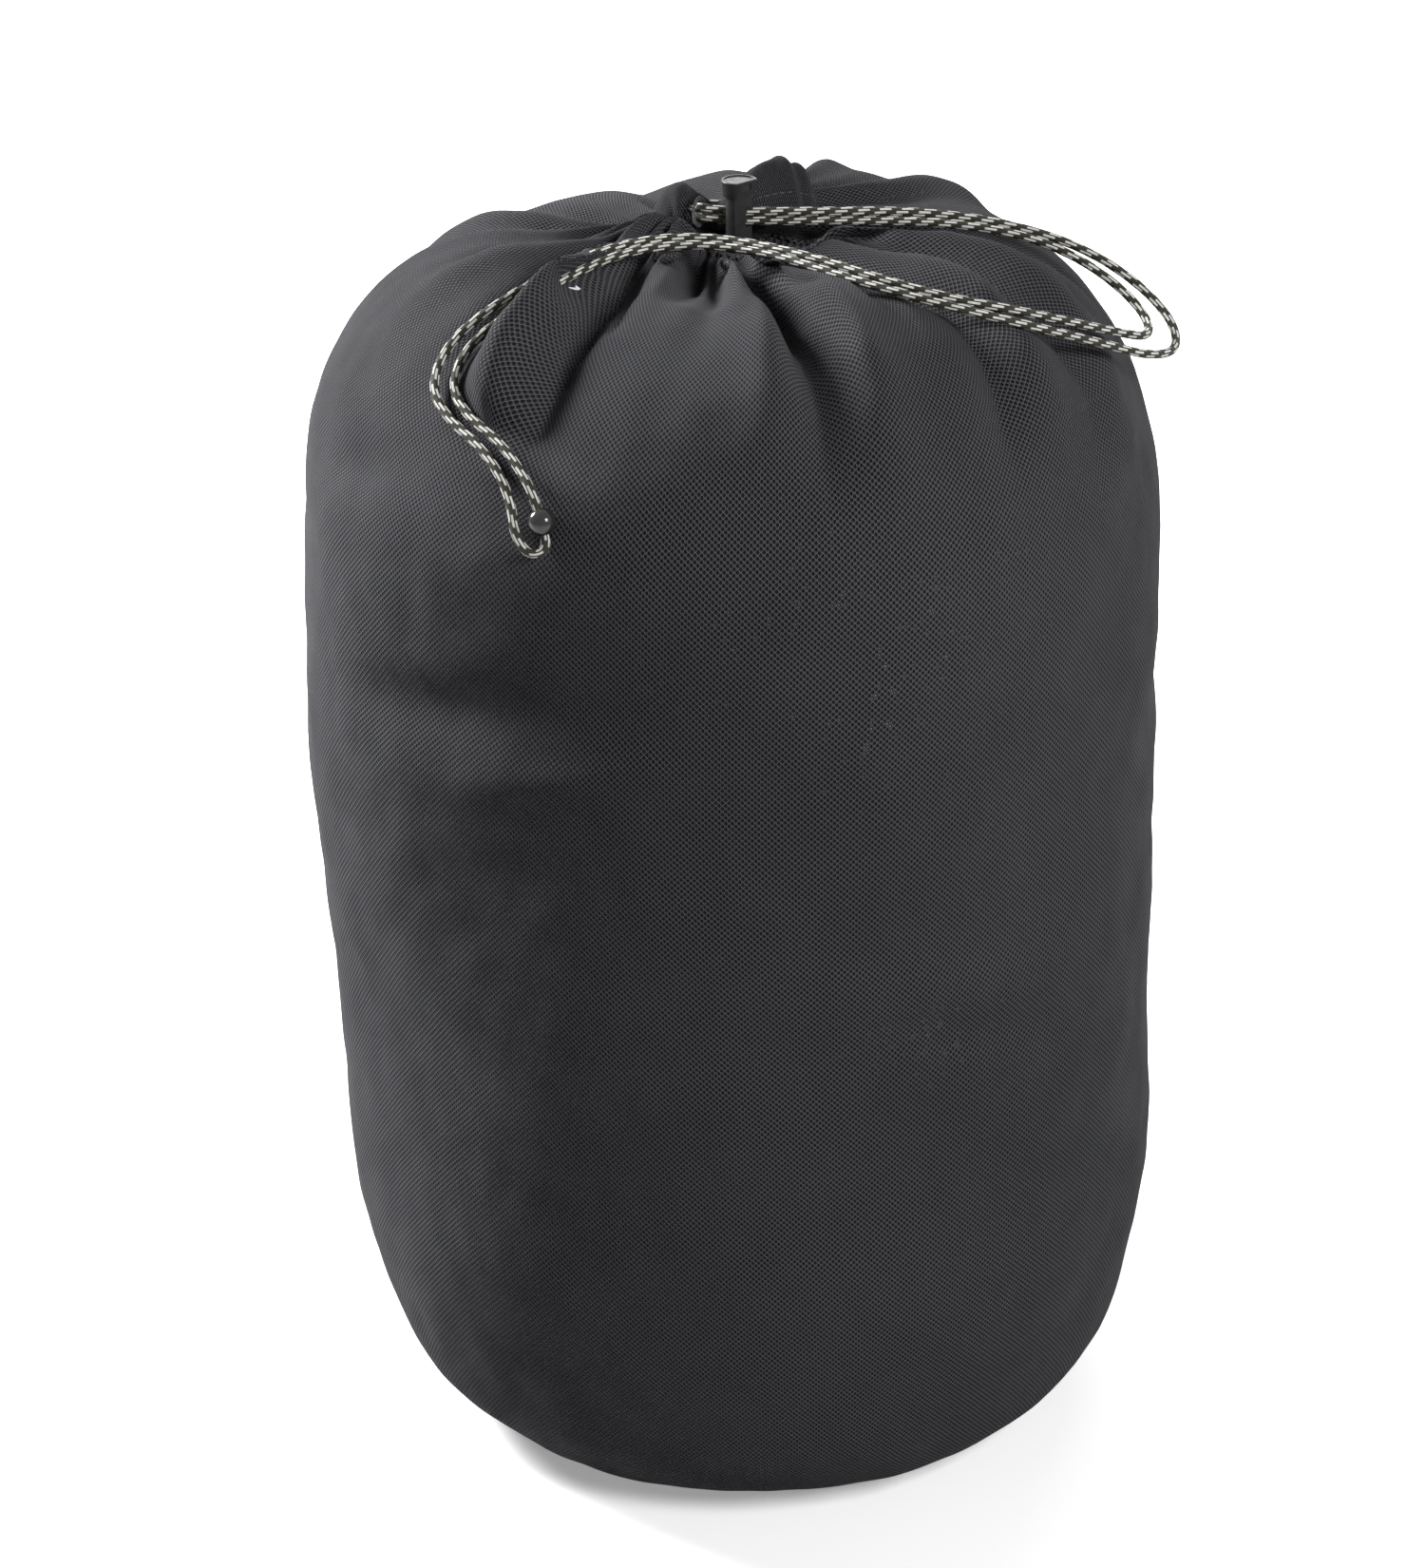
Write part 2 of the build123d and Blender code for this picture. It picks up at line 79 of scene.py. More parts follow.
# ------------------------------------------------------------------ node helpers
class Shader:
    """A material with short ways to add nodes to it."""

    def __init__(self, name):
        self.material = bpy.data.materials.new(name)
        self.material.use_nodes = True
        self.tree = self.material.node_tree
        self.tree.nodes.clear()
        self.out = self.tree.nodes.new("ShaderNodeOutputMaterial")
        self.surface = self.add("ShaderNodeBsdfPrincipled")
        self.link(self.surface.outputs[0], self.out.inputs["Surface"])

    def add(self, kind, **settings):
        node = self.tree.nodes.new(kind)
        for key, value in settings.items():
            setattr(node, key, value)
        return node

    def link(self, source, target):
        if isinstance(source, bpy.types.NodeSocket):
            self.tree.links.new(source, target)
        else:
            target.default_value = source

    def math(self, operation, a, b=0.0, c=0.0, clamp=False):
        node = self.add("ShaderNodeMath", operation=operation, use_clamp=clamp)
        for source, target in zip((a, b, c), node.inputs):
            self.link(source, target)
        return node.outputs[0]

    def mix(self, share, a, b):
        node = self.add("ShaderNodeMix", data_type="RGBA")
        self.link(share, node.inputs[0])
        self.link(a, node.inputs[6])
        self.link(b, node.inputs[7])
        return node.outputs[2]

    def ramp(self, value, low, high, low_out=0.0, high_out=1.0):
        node = self.add("ShaderNodeMapRange", interpolation_type="SMOOTHSTEP")
        for source, target in zip((value, low, high, low_out, high_out), node.inputs):
            self.link(source, target)
        return node.outputs[0]

    def noise(self, vector, scale, detail=3.0, roughness=0.55):
        node = self.add("ShaderNodeTexNoise")
        self.link(vector, node.inputs["Vector"])
        node.inputs["Scale"].default_value = scale
        node.inputs["Detail"].default_value = detail
        node.inputs["Roughness"].default_value = roughness
        return node.outputs[0]

    def place(self):
        return self.add("ShaderNodeTexCoord").outputs["Object"]

    def uv(self, name):
        node = self.add("ShaderNodeUVMap", uv_map=name)
        split = self.add("ShaderNodeSeparateXYZ")
        self.link(node.outputs[0], split.inputs[0])
        return split.outputs[0], split.outputs[1]

    def attribute(self, name):
        return self.add("ShaderNodeAttribute", attribute_name=name).outputs["Fac"]

    def bump(self, height, distance, strength=1.0):
        node = self.add("ShaderNodeBump")
        node.inputs["Strength"].default_value = strength
        node.inputs["Distance"].default_value = distance
        self.link(height, node.inputs["Height"])
        self.link(node.outputs[0], self.surface.inputs["Normal"])

    def set(self, **values):
        for key, value in values.items():
            self.link(value, self.surface.inputs[key.replace("_", " ")])


def colour(red, green, blue):
    return (red, green, blue, 1.0)


# ------------------------------------------------------------------ materials
HOLE_PITCH = 0.0021  # between the holes of one of the two lattices
HOLE_STRETCH = 0.82  # the holes are a little longer down the cloth


def mesh_knit(name):
    """Warp-knit mesh: staggered holes between raised wales, on UVs in metres of cloth."""
    m = Shader(name)
    place = m.place()
    across, along = m.uv("cloth")
    # Staggered rows: two square lattices of holes, half a pitch apart both ways.
    column = m.math("DIVIDE", across, HOLE_PITCH)
    row = m.math("DIVIDE", along, HOLE_PITCH)

    def cell_distance(shift):
        x = m.math("SUBTRACT", m.math("FRACT", m.math("ADD", column, shift)), 0.5)
        y = m.math("SUBTRACT", m.math("FRACT", m.math("ADD", row, shift)), 0.5)
        y = m.math("MULTIPLY", y, HOLE_STRETCH)
        return m.math("SQRT", m.math("ADD", m.math("MULTIPLY", x, x), m.math("MULTIPLY", y, y)))

    nearest = m.math("MINIMUM", cell_distance(0.0), cell_distance(0.5))
    hole = m.ramp(nearest, 0.15, 0.33, 1.0, 0.0)
    # Fine slanted loops of yarn between the holes; their crests get a painted highlight, lighter than the
    # black yarn.
    slant = m.math("SINE", m.math("MULTIPLY", m.math("ADD", column, row), 4 * math.pi))
    loops = m.math("MULTIPLY_ADD", slant, 0.5, 0.5)
    broad = m.noise(place, 9.0, 2.0)
    patch = m.noise(place, 38.0, 3.0)
    yarn = m.mix(m.ramp(broad, 0.35, 0.7), colour(0.040, 0.040, 0.044), colour(0.056, 0.056, 0.061))
    # painted highlight: the crests of the loops are mixed towards a light grey
    yarn = m.mix(m.math("MULTIPLY", loops, 0.5), yarn, colour(0.150, 0.150, 0.162))
    light = m.attribute("pale_fill")
    core = m.ramp(nearest, 0.07, 0.13, 1.0, 0.0)
    speck = m.noise(place, 420.0, 1.0)
    seen = m.math("MULTIPLY", m.ramp(patch, 0.46, 0.60), m.ramp(speck, 0.61, 0.72))
    pin = m.math("MULTIPLY", core, m.math("MULTIPLY", light, seen))
    # painted shade: the holes are near black, for the shaded inside of the sack seen through them; the pins
    # show the pale filling's colour
    dark = m.mix(m.math("MULTIPLY", hole, 0.92), yarn, colour(0.003, 0.003, 0.004))
    m.set(
        Base_Color=m.mix(pin, dark, colour(0.28, 0.28, 0.26)),
        Roughness=m.ramp(patch, 0.3, 0.7, 0.74, 0.86),
        Sheen_Weight=0.03,
        Sheen_Roughness=0.4,
        Sheen_Tint=colour(0.8, 0.82, 0.9),
        Specular_IOR_Level=0.07,
    )
    height = m.math("SUBTRACT", m.math("MULTIPLY", loops, 0.35), hole)
    m.bump(height, 0.0006, 1.0)
    return m.material


def woven(name, base, thread_pitch):
    """Narrow woven tape or sewing thread: fine crossing ribs."""
    m = Shader(name)
    place = m.place()
    waves = []
    for axis in "XYZ":
        wave = m.add("ShaderNodeTexWave", wave_type="BANDS", bands_direction=axis)
        m.link(place, wave.inputs["Vector"])
        wave.inputs["Scale"].default_value = 1 / thread_pitch / 2
        waves.append(wave.outputs["Fac"])
    weave = m.math("MULTIPLY", m.math("ADD", waves[0], waves[1]), waves[2])
    tone = m.noise(place, 400.0)
    m.set(
        Base_Color=m.mix(
            m.math("MULTIPLY", tone, weave), colour(*(0.5 * c for c in base)), colour(*base)
        ),
        Roughness=m.ramp(tone, 0.3, 0.7, 0.6, 0.8),
        Sheen_Weight=0.2,
    )
    m.bump(weave, thread_pitch * 0.3, 0.8)
    return m.material


def filling(name):
    """Soft pale bedding seen only through the holes of the mesh."""
    m = Shader(name)
    place = m.place()
    soft = m.noise(place, 60.0, 5.0)
    m.set(
        Base_Color=m.mix(soft, colour(0.55, 0.55, 0.57), colour(0.78, 0.78, 0.80)),
        Roughness=m.ramp(soft, 0.3, 0.7, 0.8, 0.95),
    )
    m.bump(soft, 0.002, 0.8)
    return m.material


CORD_DIAMETER = 0.003
CARRIERS = 8  # one way round; as many go the other way
CARRIER_GAP = math.pi * CORD_DIAMETER / CARRIERS
BRAID_SLOPE = 0.295
TRACER_WIDTH = 0.62  # share of a carrier's room
TRACER_PITCH = 0.008  # from one white dash to the next along a row
TRACER_LENGTH = 0.52  # share of the pitch
TRACER_SHIFT = 0.25  # of the pitch, from one row to the next
TRACER_SLOPE = 0.045  # the rows climb this much round the cord for each unit along it


def braid_cells(along, around, floor):
    """Places across both families of carriers, and the number of the crossing."""
    first = (around - along * BRAID_SLOPE) / CARRIER_GAP
    second = (around + along * BRAID_SLOPE) / CARRIER_GAP
    return first - floor(first), second - floor(second), floor(first) + floor(second)


def braided(name):
    """Black braid with rows of white dashes, on UVs in metres of cord."""
    m = Shader(name)
    along, around = m.uv("cord")
    climb = m.math("MULTIPLY", along, BRAID_SLOPE)
    first = m.math("DIVIDE", m.math("SUBTRACT", around, climb), CARRIER_GAP)
    second = m.math("DIVIDE", m.math("ADD", around, climb), CARRIER_GAP)
    side = m.math("ABSOLUTE", m.math("SUBTRACT", m.math("FRACT", first), 0.5))
    other = m.math("ABSOLUTE", m.math("SUBTRACT", m.math("FRACT", second), 0.5))
    # White carriers show as rows of separate dashes, each row set along from the last.
    line = m.math("DIVIDE", m.math("MULTIPLY_ADD", along, TRACER_SLOPE, around), CARRIER_GAP)
    place = m.math(
        "FRACT",
        m.math("MULTIPLY_ADD", m.math("FLOOR", line), TRACER_SHIFT, m.math("DIVIDE", along, TRACER_PITCH)),
    )
    off_end = m.math("ABSOLUTE", m.math("SUBTRACT", place, 0.5))
    off_side = m.math("ABSOLUTE", m.math("SUBTRACT", m.math("FRACT", line), 0.5))
    long_enough = m.ramp(off_end, TRACER_LENGTH / 2 - 0.03, TRACER_LENGTH / 2 + 0.03, 1.0, 0.0)
    in_tracer = m.ramp(off_side, TRACER_WIDTH / 2 - 0.07, TRACER_WIDTH / 2 + 0.05, 1.0, 0.0)
    split = m.ramp(off_side, 0.0, 0.07, 0.45, 1.0)
    white = m.math("MULTIPLY", m.math("MULTIPLY", long_enough, in_tracer), split)
    # Each carrier is a few fine parallel ends of yarn.
    ends_of_yarn = m.math("SINE", m.math("MULTIPLY", line, 8 * math.pi))
    black_ends = m.math("SINE", m.math("MULTIPLY", second, 6 * math.pi))
    grain = m.math("MULTIPLY_ADD", black_ends, 0.5, 0.5)
    soiling = m.noise(m.place(), 260.0, 2.0)
    black = m.mix(grain, colour(0.010, 0.010, 0.007), colour(0.034, 0.032, 0.023))
    bright = m.mix(
        m.math("MULTIPLY_ADD", ends_of_yarn, 0.25, m.math("MULTIPLY", soiling, 0.9)),
        colour(0.46, 0.45, 0.42), colour(0.80, 0.79, 0.75),
    )
    m.set(
        Base_Color=m.mix(white, black, bright),
        Roughness=m.ramp(soiling, 0.3, 0.7, 0.60, 0.76),
        Specular_IOR_Level=0.2,
    )
    edge = m.math("MULTIPLY", m.math("MINIMUM", side, other), -1.0)
    m.bump(m.math("MULTIPLY_ADD", ends_of_yarn, 0.12, edge), 0.0003, 0.7)
    return m.material


def moulded(name, rough_low, rough_high, grain, base):
    """Injection-moulded plastic: fine satin grain, faint flow marks and handling scuffs."""
    m = Shader(name)
    place = m.place()
    fine = m.noise(place, grain, 4.0)
    flow = m.noise(place, 150.0, 2.0)
    scuff = m.noise(place, 520.0, 5.0, 0.7)
    m.set(
        Base_Color=m.mix(
            m.ramp(flow, 0.3, 0.75), colour(*(0.75 * c for c in base)), colour(*base)
        ),
        Roughness=m.ramp(scuff, 0.35, 0.72, rough_low, rough_high),
        Specular_IOR_Level=0.34,
    )
    m.bump(fine, 0.00004, 0.5)
    return m.material


def spring_wire(name):
    m = Shader(name)
    drawn = m.noise(m.place(), 900.0, 3.0)
    m.set(
        Base_Color=m.mix(drawn, colour(0.45, 0.45, 0.46), colour(0.66, 0.66, 0.67)),
        Metallic=1.0,
        Roughness=m.ramp(drawn, 0.3, 0.7, 0.22, 0.4),
    )
    return m.material


MESH = mesh_knit("mesh_knit")
TAPE = woven("binding_tape", (0.035, 0.035, 0.038), 0.0006)
THREAD = woven("sewing_thread", (0.045, 0.045, 0.05), 0.0003)
STUFFING = filling("stuffing")
BRAID = braided("braided_cord")
LOCK = moulded("lock_plastic", 0.30, 0.46, 2500.0, (0.020, 0.020, 0.021))
BEAD = moulded("bead_plastic", 0.10, 0.2, 1200.0, (0.022, 0.022, 0.022))
SPRING = spring_wire("spring_wire")


# ------------------------------------------------------------------ cords
# The same routes as the construction's, in metres.
EXIT_POINT = (-0.01623, 0.00556)
LOCK_LINE_X = -0.0105  # where both strands turn along the lock's hole
UPPER, LOWER = 0.4521, 0.4489  # heights of the two strands in the lock
STRAND_A = [
    (*EXIT_POINT, UPPER), (LOCK_LINE_X, 0, UPPER),
    (0.029, 0, UPPER), (0.051, 0.008, 0.450), (0.074, 0.009, 0.448), (0.098, 0.007, 0.444),
    (0.119, 0.003, 0.437), (0.136, -0.003, 0.427), (0.147, -0.014, 0.417),
    (0.147, -0.030, 0.412), (0.136, -0.045, 0.415), (0.118, -0.058, 0.424),
    (0.098, -0.071, 0.433), (0.075, -0.078, 0.441), (0.052, -0.075, 0.446),
    (0.029, -0.058, 0.448), (0.007, -0.038, 0.449), (-0.014, -0.028, 0.449),
    (-0.034, -0.032, 0.449), (-0.050, -0.046, 0.448), (-0.066, -0.066, 0.445),
    (-0.081, -0.078, 0.438), (-0.092, -0.085, 0.430), (-0.096, -0.094, 0.420),
    (-0.089, -0.106, 0.414), (-0.079, -0.117, 0.410), (-0.072, -0.127, 0.404),
    (-0.0677, -0.1346, 0.3984), (-0.0649, -0.1365, 0.3902),
]
STRAND_B = [
    (*EXIT_POINT, LOWER), (LOCK_LINE_X, 0, LOWER),
    (0.029, 0, LOWER), (0.050, 0.003, 0.448), (0.072, 0.003, 0.447), (0.095, 0, 0.444),
    (0.113, -0.005, 0.438), (0.128, -0.011, 0.429), (0.137, -0.020, 0.421),
    (0.137, -0.034, 0.418), (0.125, -0.047, 0.424), (0.107, -0.060, 0.432),
    (0.088, -0.069, 0.439), (0.066, -0.072, 0.444), (0.044, -0.064, 0.448),
    (0.022, -0.046, 0.450), (0, -0.029, 0.450), (-0.016, -0.023, 0.450),
    (-0.034, -0.026, 0.450), (-0.052, -0.040, 0.449), (-0.068, -0.061, 0.447),
    (-0.085, -0.073, 0.440), (-0.098, -0.079, 0.430), (-0.103, -0.090, 0.419),
    (-0.096, -0.102, 0.412), (-0.086, -0.114, 0.408), (-0.079, -0.124, 0.402),
    (-0.075, -0.131, 0.394), (-0.074, -0.136, 0.386), (-0.0695, -0.140, 0.3795),
    (-0.0623, -0.1384, 0.3816), (-0.0651, -0.1365, 0.3898),
]
SPLINE_STEPS = 16
BRAID_RING_STEP = 0.0004
BRAID_SIDES = 36
BRAID_RELIEF = 0.00011


def smooth(x, low, high):
    t = np.clip((x - low) / (high - low), 0, 1)
    return t * t * (3 - 2 * t)


def spline_points(name, points):
    """Points along the smooth line that has the route's points as its control points."""
    data = bpy.data.curves.new(name, "CURVE")
    data.dimensions = "3D"
    data.resolution_u = SPLINE_STEPS
    spline = data.splines.new("NURBS")
    spline.points.add(len(points) - 1)
    for at, point in zip(spline.points, points):
        at.co = (*point, 1)
    spline.order_u = 3
    spline.use_endpoint_u = True
    route = bpy.data.objects.new(name, data)
    scene.collection.objects.link(route)
    line = bpy.data.meshes.new_from_object(route)
    found = np.array([v.co for v in line.vertices], float)
    bpy.data.objects.remove(route)
    return found


def spaced(points, step):
    """Points a step apart along a line of points, and how far along each is."""
    lengths = np.r_[0, np.cumsum(np.linalg.norm(np.diff(points, axis=0), axis=1))]
    along = np.linspace(0, lengths[-1], int(round(lengths[-1] / step)) + 1)
    return np.stack([np.interp(along, lengths, points[:, k]) for k in range(3)], 1), along


def grid_mesh(name, points, material, uv=None, uv_name="cloth", closed=True, flip=False):
    """A mesh from a grid of points[row, column]. Closed joins the last column to the first."""
    rows, columns = points.shape[:2]
    across = columns if closed else columns - 1
    r, c = np.meshgrid(np.arange(rows - 1), np.arange(across), indexing="ij")
    nxt = (c + 1) % columns
    faces = np.stack(
        [r * columns + c, r * columns + nxt, (r + 1) * columns + nxt, (r + 1) * columns + c], -1
    ).reshape(-1, 4)
    if flip:
        faces = faces[:, ::-1]
    data = bpy.data.meshes.new(name)
    data.from_pydata(points.reshape(-1, 3).tolist(), [], faces.tolist())
    if uv is not None:
        # uv[row, column] has one more column than a closed grid has, for its seam.
        layer = data.uv_layers.new(name=uv_name)
        corner = np.stack(
            [uv[r, c], uv[r, c + 1], uv[r + 1, c + 1], uv[r + 1, c]], 2
        ).reshape(-1, 4, 2)
        if flip:
            corner = corner[:, ::-1]
        layer.data.foreach_set("uv", corner.reshape(-1).astype(np.float32))
    data.polygons.foreach_set("use_smooth", np.ones(len(faces), bool))
    data.materials.append(material)
    data.update()
    piece = bpy.data.objects.new(name, data)
    scene.collection.objects.link(piece)
    return piece


def cord_frames(points):
    """Tangents and two sideways directions that don't twist along the line."""
    tangent = np.gradient(points, axis=0)
    tangent /= np.linalg.norm(tangent, axis=1)[:, None]
    side = np.zeros_like(points)
    start = np.cross(tangent[0], (0, 0, 1.0))
    side[0] = start / np.linalg.norm(start)
    for i in range(1, len(points)):
        moved = side[i - 1] - tangent[i] * (side[i - 1] @ tangent[i])
        side[i] = moved / np.linalg.norm(moved)
    return tangent, side, np.cross(tangent, side)


def braid_tube(name, line):
    """The cord as a tube whose surface rises and falls with the carriers of the braid."""
    points, along = spaced(line, BRAID_RING_STEP)
    _, side, up = cord_frames(points)
    around = np.arange(BRAID_SIDES) / BRAID_SIDES * math.pi * CORD_DIAMETER
    grid_along, grid_around = np.meshgrid(along, around, indexing="ij")
    first, second, crossing = braid_cells(grid_along, grid_around, np.floor)
    on_top = np.mod(crossing, 4) < 2
    crown = 1 - 4 * np.where(on_top, first - 0.5, second - 0.5) ** 2
    line = (grid_around + grid_along * TRACER_SLOPE) / CARRIER_GAP
    place = np.mod(grid_along / TRACER_PITCH + np.floor(line) * TRACER_SHIFT, 1)
    inside = 1 - smooth(np.abs(place - 0.5), TRACER_LENGTH / 2 - 0.06, TRACER_LENGTH / 2 + 0.03)
    dash = inside * (1 - 4 * (line - np.floor(line) - 0.5) ** 2)
    radius = CORD_DIAMETER / 2 + BRAID_RELIEF * (np.maximum(0.7 * crown, 1.3 * dash) - 0.6)
    angle = grid_around / (CORD_DIAMETER / 2)
    offset = (
        np.cos(angle)[..., None] * side[:, None] + np.sin(angle)[..., None] * up[:, None]
    ) * radius[..., None]
    rings = points[:, None] + offset
    ends = [np.repeat(points[k][None, None], BRAID_SIDES, 1) for k in (0, -1)]
    rings = np.concatenate([ends[0], rings, ends[1]])
    uv_along = np.r_[along[0], along, along[-1]]
    uv_around = np.r_[around, math.pi * CORD_DIAMETER]
    uv = np.stack(np.meshgrid(uv_along, uv_around, indexing="ij"), -1)
    return grid_mesh(name, rings, BRAID, uv, uv_name="cord")


LINE_A = spline_points("route_a", STRAND_A)
LINE_B = spline_points("route_b", STRAND_B)


def make_strands():
    for name, line, node in (
        ("cord_strand_a", LINE_A, "tail_strand_a"),
        ("cord_strand_b", LINE_B, "tail_strand_b"),
    ):
        strand = braid_tube(name, line)
        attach(strand, "sack")
        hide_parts(node)


make_strands()


# ------------------------------------------------------------------ the sack's shape
SACK_RADIUS = 0.150
CROWN_HEIGHT = 0.443
BASE_SEAM_RADIUS = 0.088
BASE_TURN_RADIUS = 0.052
BASE_TURN_ANGLE = math.radians(74)
SHOULDER_RADIUS = 0.090
SHOULDER_ANGLE = math.radians(45)
CROWN_RADIUS = 0.080
MOUTH = Vector((-0.010, 0.017))  # middle of the gathered mouth, in plan
COLUMNS = 640
GIRTH = 2 * math.pi * SACK_RADIUS


def outline():
    """The half outline from the middle of the mouth down to the base seam, as (radius, height)."""
    turn = BASE_TURN_RADIUS
    sine = math.sin(BASE_TURN_ANGLE)
    wall = (SACK_RADIUS - BASE_SEAM_RADIUS - turn * sine) / (1 - sine)
    a = np.linspace(0, BASE_TURN_ANGLE, 60)
    parts = [np.stack([BASE_SEAM_RADIUS + turn * np.sin(a), turn * (1 - np.cos(a))], 1)]
    middle = parts[0][-1] - wall * np.array([sine, -math.cos(BASE_TURN_ANGLE)])
    a = np.linspace(BASE_TURN_ANGLE, math.pi / 2, 60)[1:]
    parts.append(middle + wall * np.stack([np.sin(a), -np.cos(a)], 1))
    inner = (
        SACK_RADIUS - SHOULDER_RADIUS * (1 - math.cos(SHOULDER_ANGLE)) - CROWN_RADIUS
    ) / math.cos(SHOULDER_ANGLE)
    rise = SHOULDER_RADIUS * math.sin(SHOULDER_ANGLE) + inner * (1 - math.sin(SHOULDER_ANGLE))
    top = CROWN_HEIGHT - rise
    z = np.linspace(parts[-1][-1, 1], top, 100)[1:]
    parts.append(np.stack([np.full_like(z, SACK_RADIUS), z], 1))
    a = np.linspace(0, SHOULDER_ANGLE, 60)[1:]
    parts.append(
        np.stack([SACK_RADIUS - SHOULDER_RADIUS * (1 - np.cos(a)), top + SHOULDER_RADIUS * np.sin(a)], 1)
    )
    middle = parts[-1][-1] - inner * np.array([math.cos(SHOULDER_ANGLE), math.sin(SHOULDER_ANGLE)])
    a = np.linspace(SHOULDER_ANGLE, math.pi / 2, 60)[1:]
    parts.append(middle + inner * np.stack([np.cos(a), np.sin(a)], 1))
    r = np.linspace(CROWN_RADIUS, 0, 40)[1:]
    parts.append(np.stack([r, np.full_like(r, CROWN_HEIGHT)], 1))
    return np.concatenate(parts)[::-1]


OUTLINE = outline()
OUTLINE_AT = np.r_[0, np.cumsum(np.linalg.norm(np.diff(OUTLINE, axis=0), axis=1))]
CLOTH_LENGTH = OUTLINE_AT[-1]


def outline_at(s):
    """Point and outward normal of the outline, s metres of cloth from the middle of the mouth."""
    step = 0.0015
    at = [np.stack([np.interp(q, OUTLINE_AT, OUTLINE[:, k]) for k in (0, 1)], -1)
          for q in (s - step, s, s + step)]
    along = at[2] - at[0]
    along /= np.linalg.norm(along, axis=-1, keepdims=True)
    return at[1], np.stack([-along[..., 1], along[..., 0]], -1)


# Folds that run out from the mouth. Each is a list of (cloth from the mouth in mm, azimuth in
# degrees, half width in mm, height in mm); a height below 0 is a valley.
FRONT_FOLDS = [
    # the deep valley in front, right of the middle, and the ridges beside it
    [
        (30, -86, 5, -5), (60, -82, 7, -9), (95, -79, 9, -8), (125, -78, 10, -6),
        (150, -78, 12, -2.5), (170, -77, 15, 0),
    ],
    [(30, -93, 4, 3), (60, -89, 6, 4.5), (90, -86, 8, 4), (125, -84, 12, 2.5), (160, -83, 18, 0)],
    [(35, -73, 6, 3), (70, -70, 9, 4), (110, -70, 12, 3.5), (145, -71, 16, 2), (175, -71, 20, 0)],
    # short dark pocket left of the middle
    [(22, -108, 5, -6), (40, -106, 7, -6), (60, -104, 8, -3), (85, -103, 10, 0)],
    [(25, -122, 5, 2.5), (50, -118, 6, 3), (80, -113, 9, 1.5), (110, -110, 14, 0)],
    # short crease under the cords
    [(55, -128, 3, -1.2), (75, -121, 3, -2.2), (92, -117, 3, -1.6), (105, -115, 4, 0)],
    # the long fold that sweeps down to the left
    [
        (30, -148, 6, 4), (60, -141, 7, 6), (90, -134, 9, 6.5), (118, -130, 10, 6),
        (140, -127, 12, 4), (165, -124, 16, 0),
    ],
    [
        (40, -138, 5, -3), (65, -130, 6, -6), (95, -124, 8, -7.5), (120, -121, 9, -6.5),
        (140, -120, 10, -4), (160, -119, 14, 0),
    ],
    [(50, -153, 5, -2.5), (80, -146, 6, -3.5), (110, -140, 7, -3), (135, -138, 10, 0)],
    # folds to the left lobe
    [(35, -166, 6, 3), (70, -163, 8, 3), (105, -160, 10, 2), (140, -158, 14, 0)],
    [(40, -176, 5, -3), (75, -174, 7, -2.5), (110, -172, 9, 0)],
    # right of the middle, long and shallow
    [
        (30, -55, 5, -3), (60, -50, 6, -4), (94, -44, 7, -4), (120, -46, 8, -4),
        (145, -49, 10, -2.5), (170, -50, 14, 0),
    ],
    [(35, -38, 5, 3), (70, -36, 7, 3.5), (110, -38, 9, 3), (140, -41, 12, 1.5), (170, -43, 15, 0)],
    [(30, -27, 5, -3), (60, -24, 6, -4), (100, -26, 8, -3), (135, -29, 10, -2), (170, -31, 12, 0)],
    [(35, -15, 5, 3), (70, -14, 7, 4), (110, -17, 9, 2.5), (150, -21, 12, 1), (185, -24, 15, 0)],
    [(35, -3, 5, -2.5), (65, -4, 6, -3), (105, -7, 8, -2), (140, -9, 11, 0)],
]
FOLD_GAIN = 2.1
BACK_FOLD_STEP = 13  # degrees between the folds that the front doesn't show
SOFT_DENTS = [
    # (azimuth, height in m, half length in degrees, half height in m, depth in m, tilt)
    (-128, 0.318, 26, 0.010, -0.0030, 0.010),
    (-112, 0.300, 20, 0.008, 0.0022, 0.012),
    (-58, 0.204, 20, 0.009, -0.0024, -0.008),
    (-62, 0.216, 24, 0.014, 0.0020, -0.008),
    (-152, 0.385, 22, 0.010, -0.0035, 0.012),
    (-32, 0.395, 12, 0.012, -0.0020, 0.0),
    (40, 0.330, 26, 0.012, -0.0030, 0.010),
    (105, 0.255, 30, 0.011, -0.0026, -0.012),
    (160, 0.310, 24, 0.013, -0.0028, 0.008),
    (75, 0.150, 28, 0.014, -0.0020, 0.008),
    (-5, 0.290, 20, 0.012, -0.0018, 0.010),
]


SIDE_FLATS = [
    # (-1 left or 1 right, height, half height, depth in m): flatter low left and high right
    (-1, 0.16, 0.07, 0.0030),
    (1, 0.385, 0.032, 0.0042),
]
DOME_LEVELS = [
    # (azimuth, half width in degrees, rise in m) around the dome
    (45, 34, 0.0008),
    (138, 34, -0.0095),
    (106, 28, -0.0045),
]


def back_folds():
    """Valleys and ridges by turns round the rest of the mouth, uneven in reach and depth."""
    folds = []
    for k, azimuth in enumerate(np.arange(6, 180, BACK_FOLD_STEP)):
        lean, reach, depth = rng.uniform(-5, 5), rng.uniform(105, 170), rng.uniform(1.2, 2.8)
        start = azimuth + rng.uniform(-2.5, 2.5)
        sign = 1 if k % 2 else -1
        width = rng.uniform(5, 7)
        folds.append([
            (30, start, width, 0.7 * depth * sign),
            (60, start + 0.4 * lean, 1.2 * width, depth * sign),
            (0.7 * reach, start + 0.8 * lean, 1.5 * width, 0.8 * depth * sign),
            (reach, start + lean, 2.1 * width, 0),
        ])
    return folds


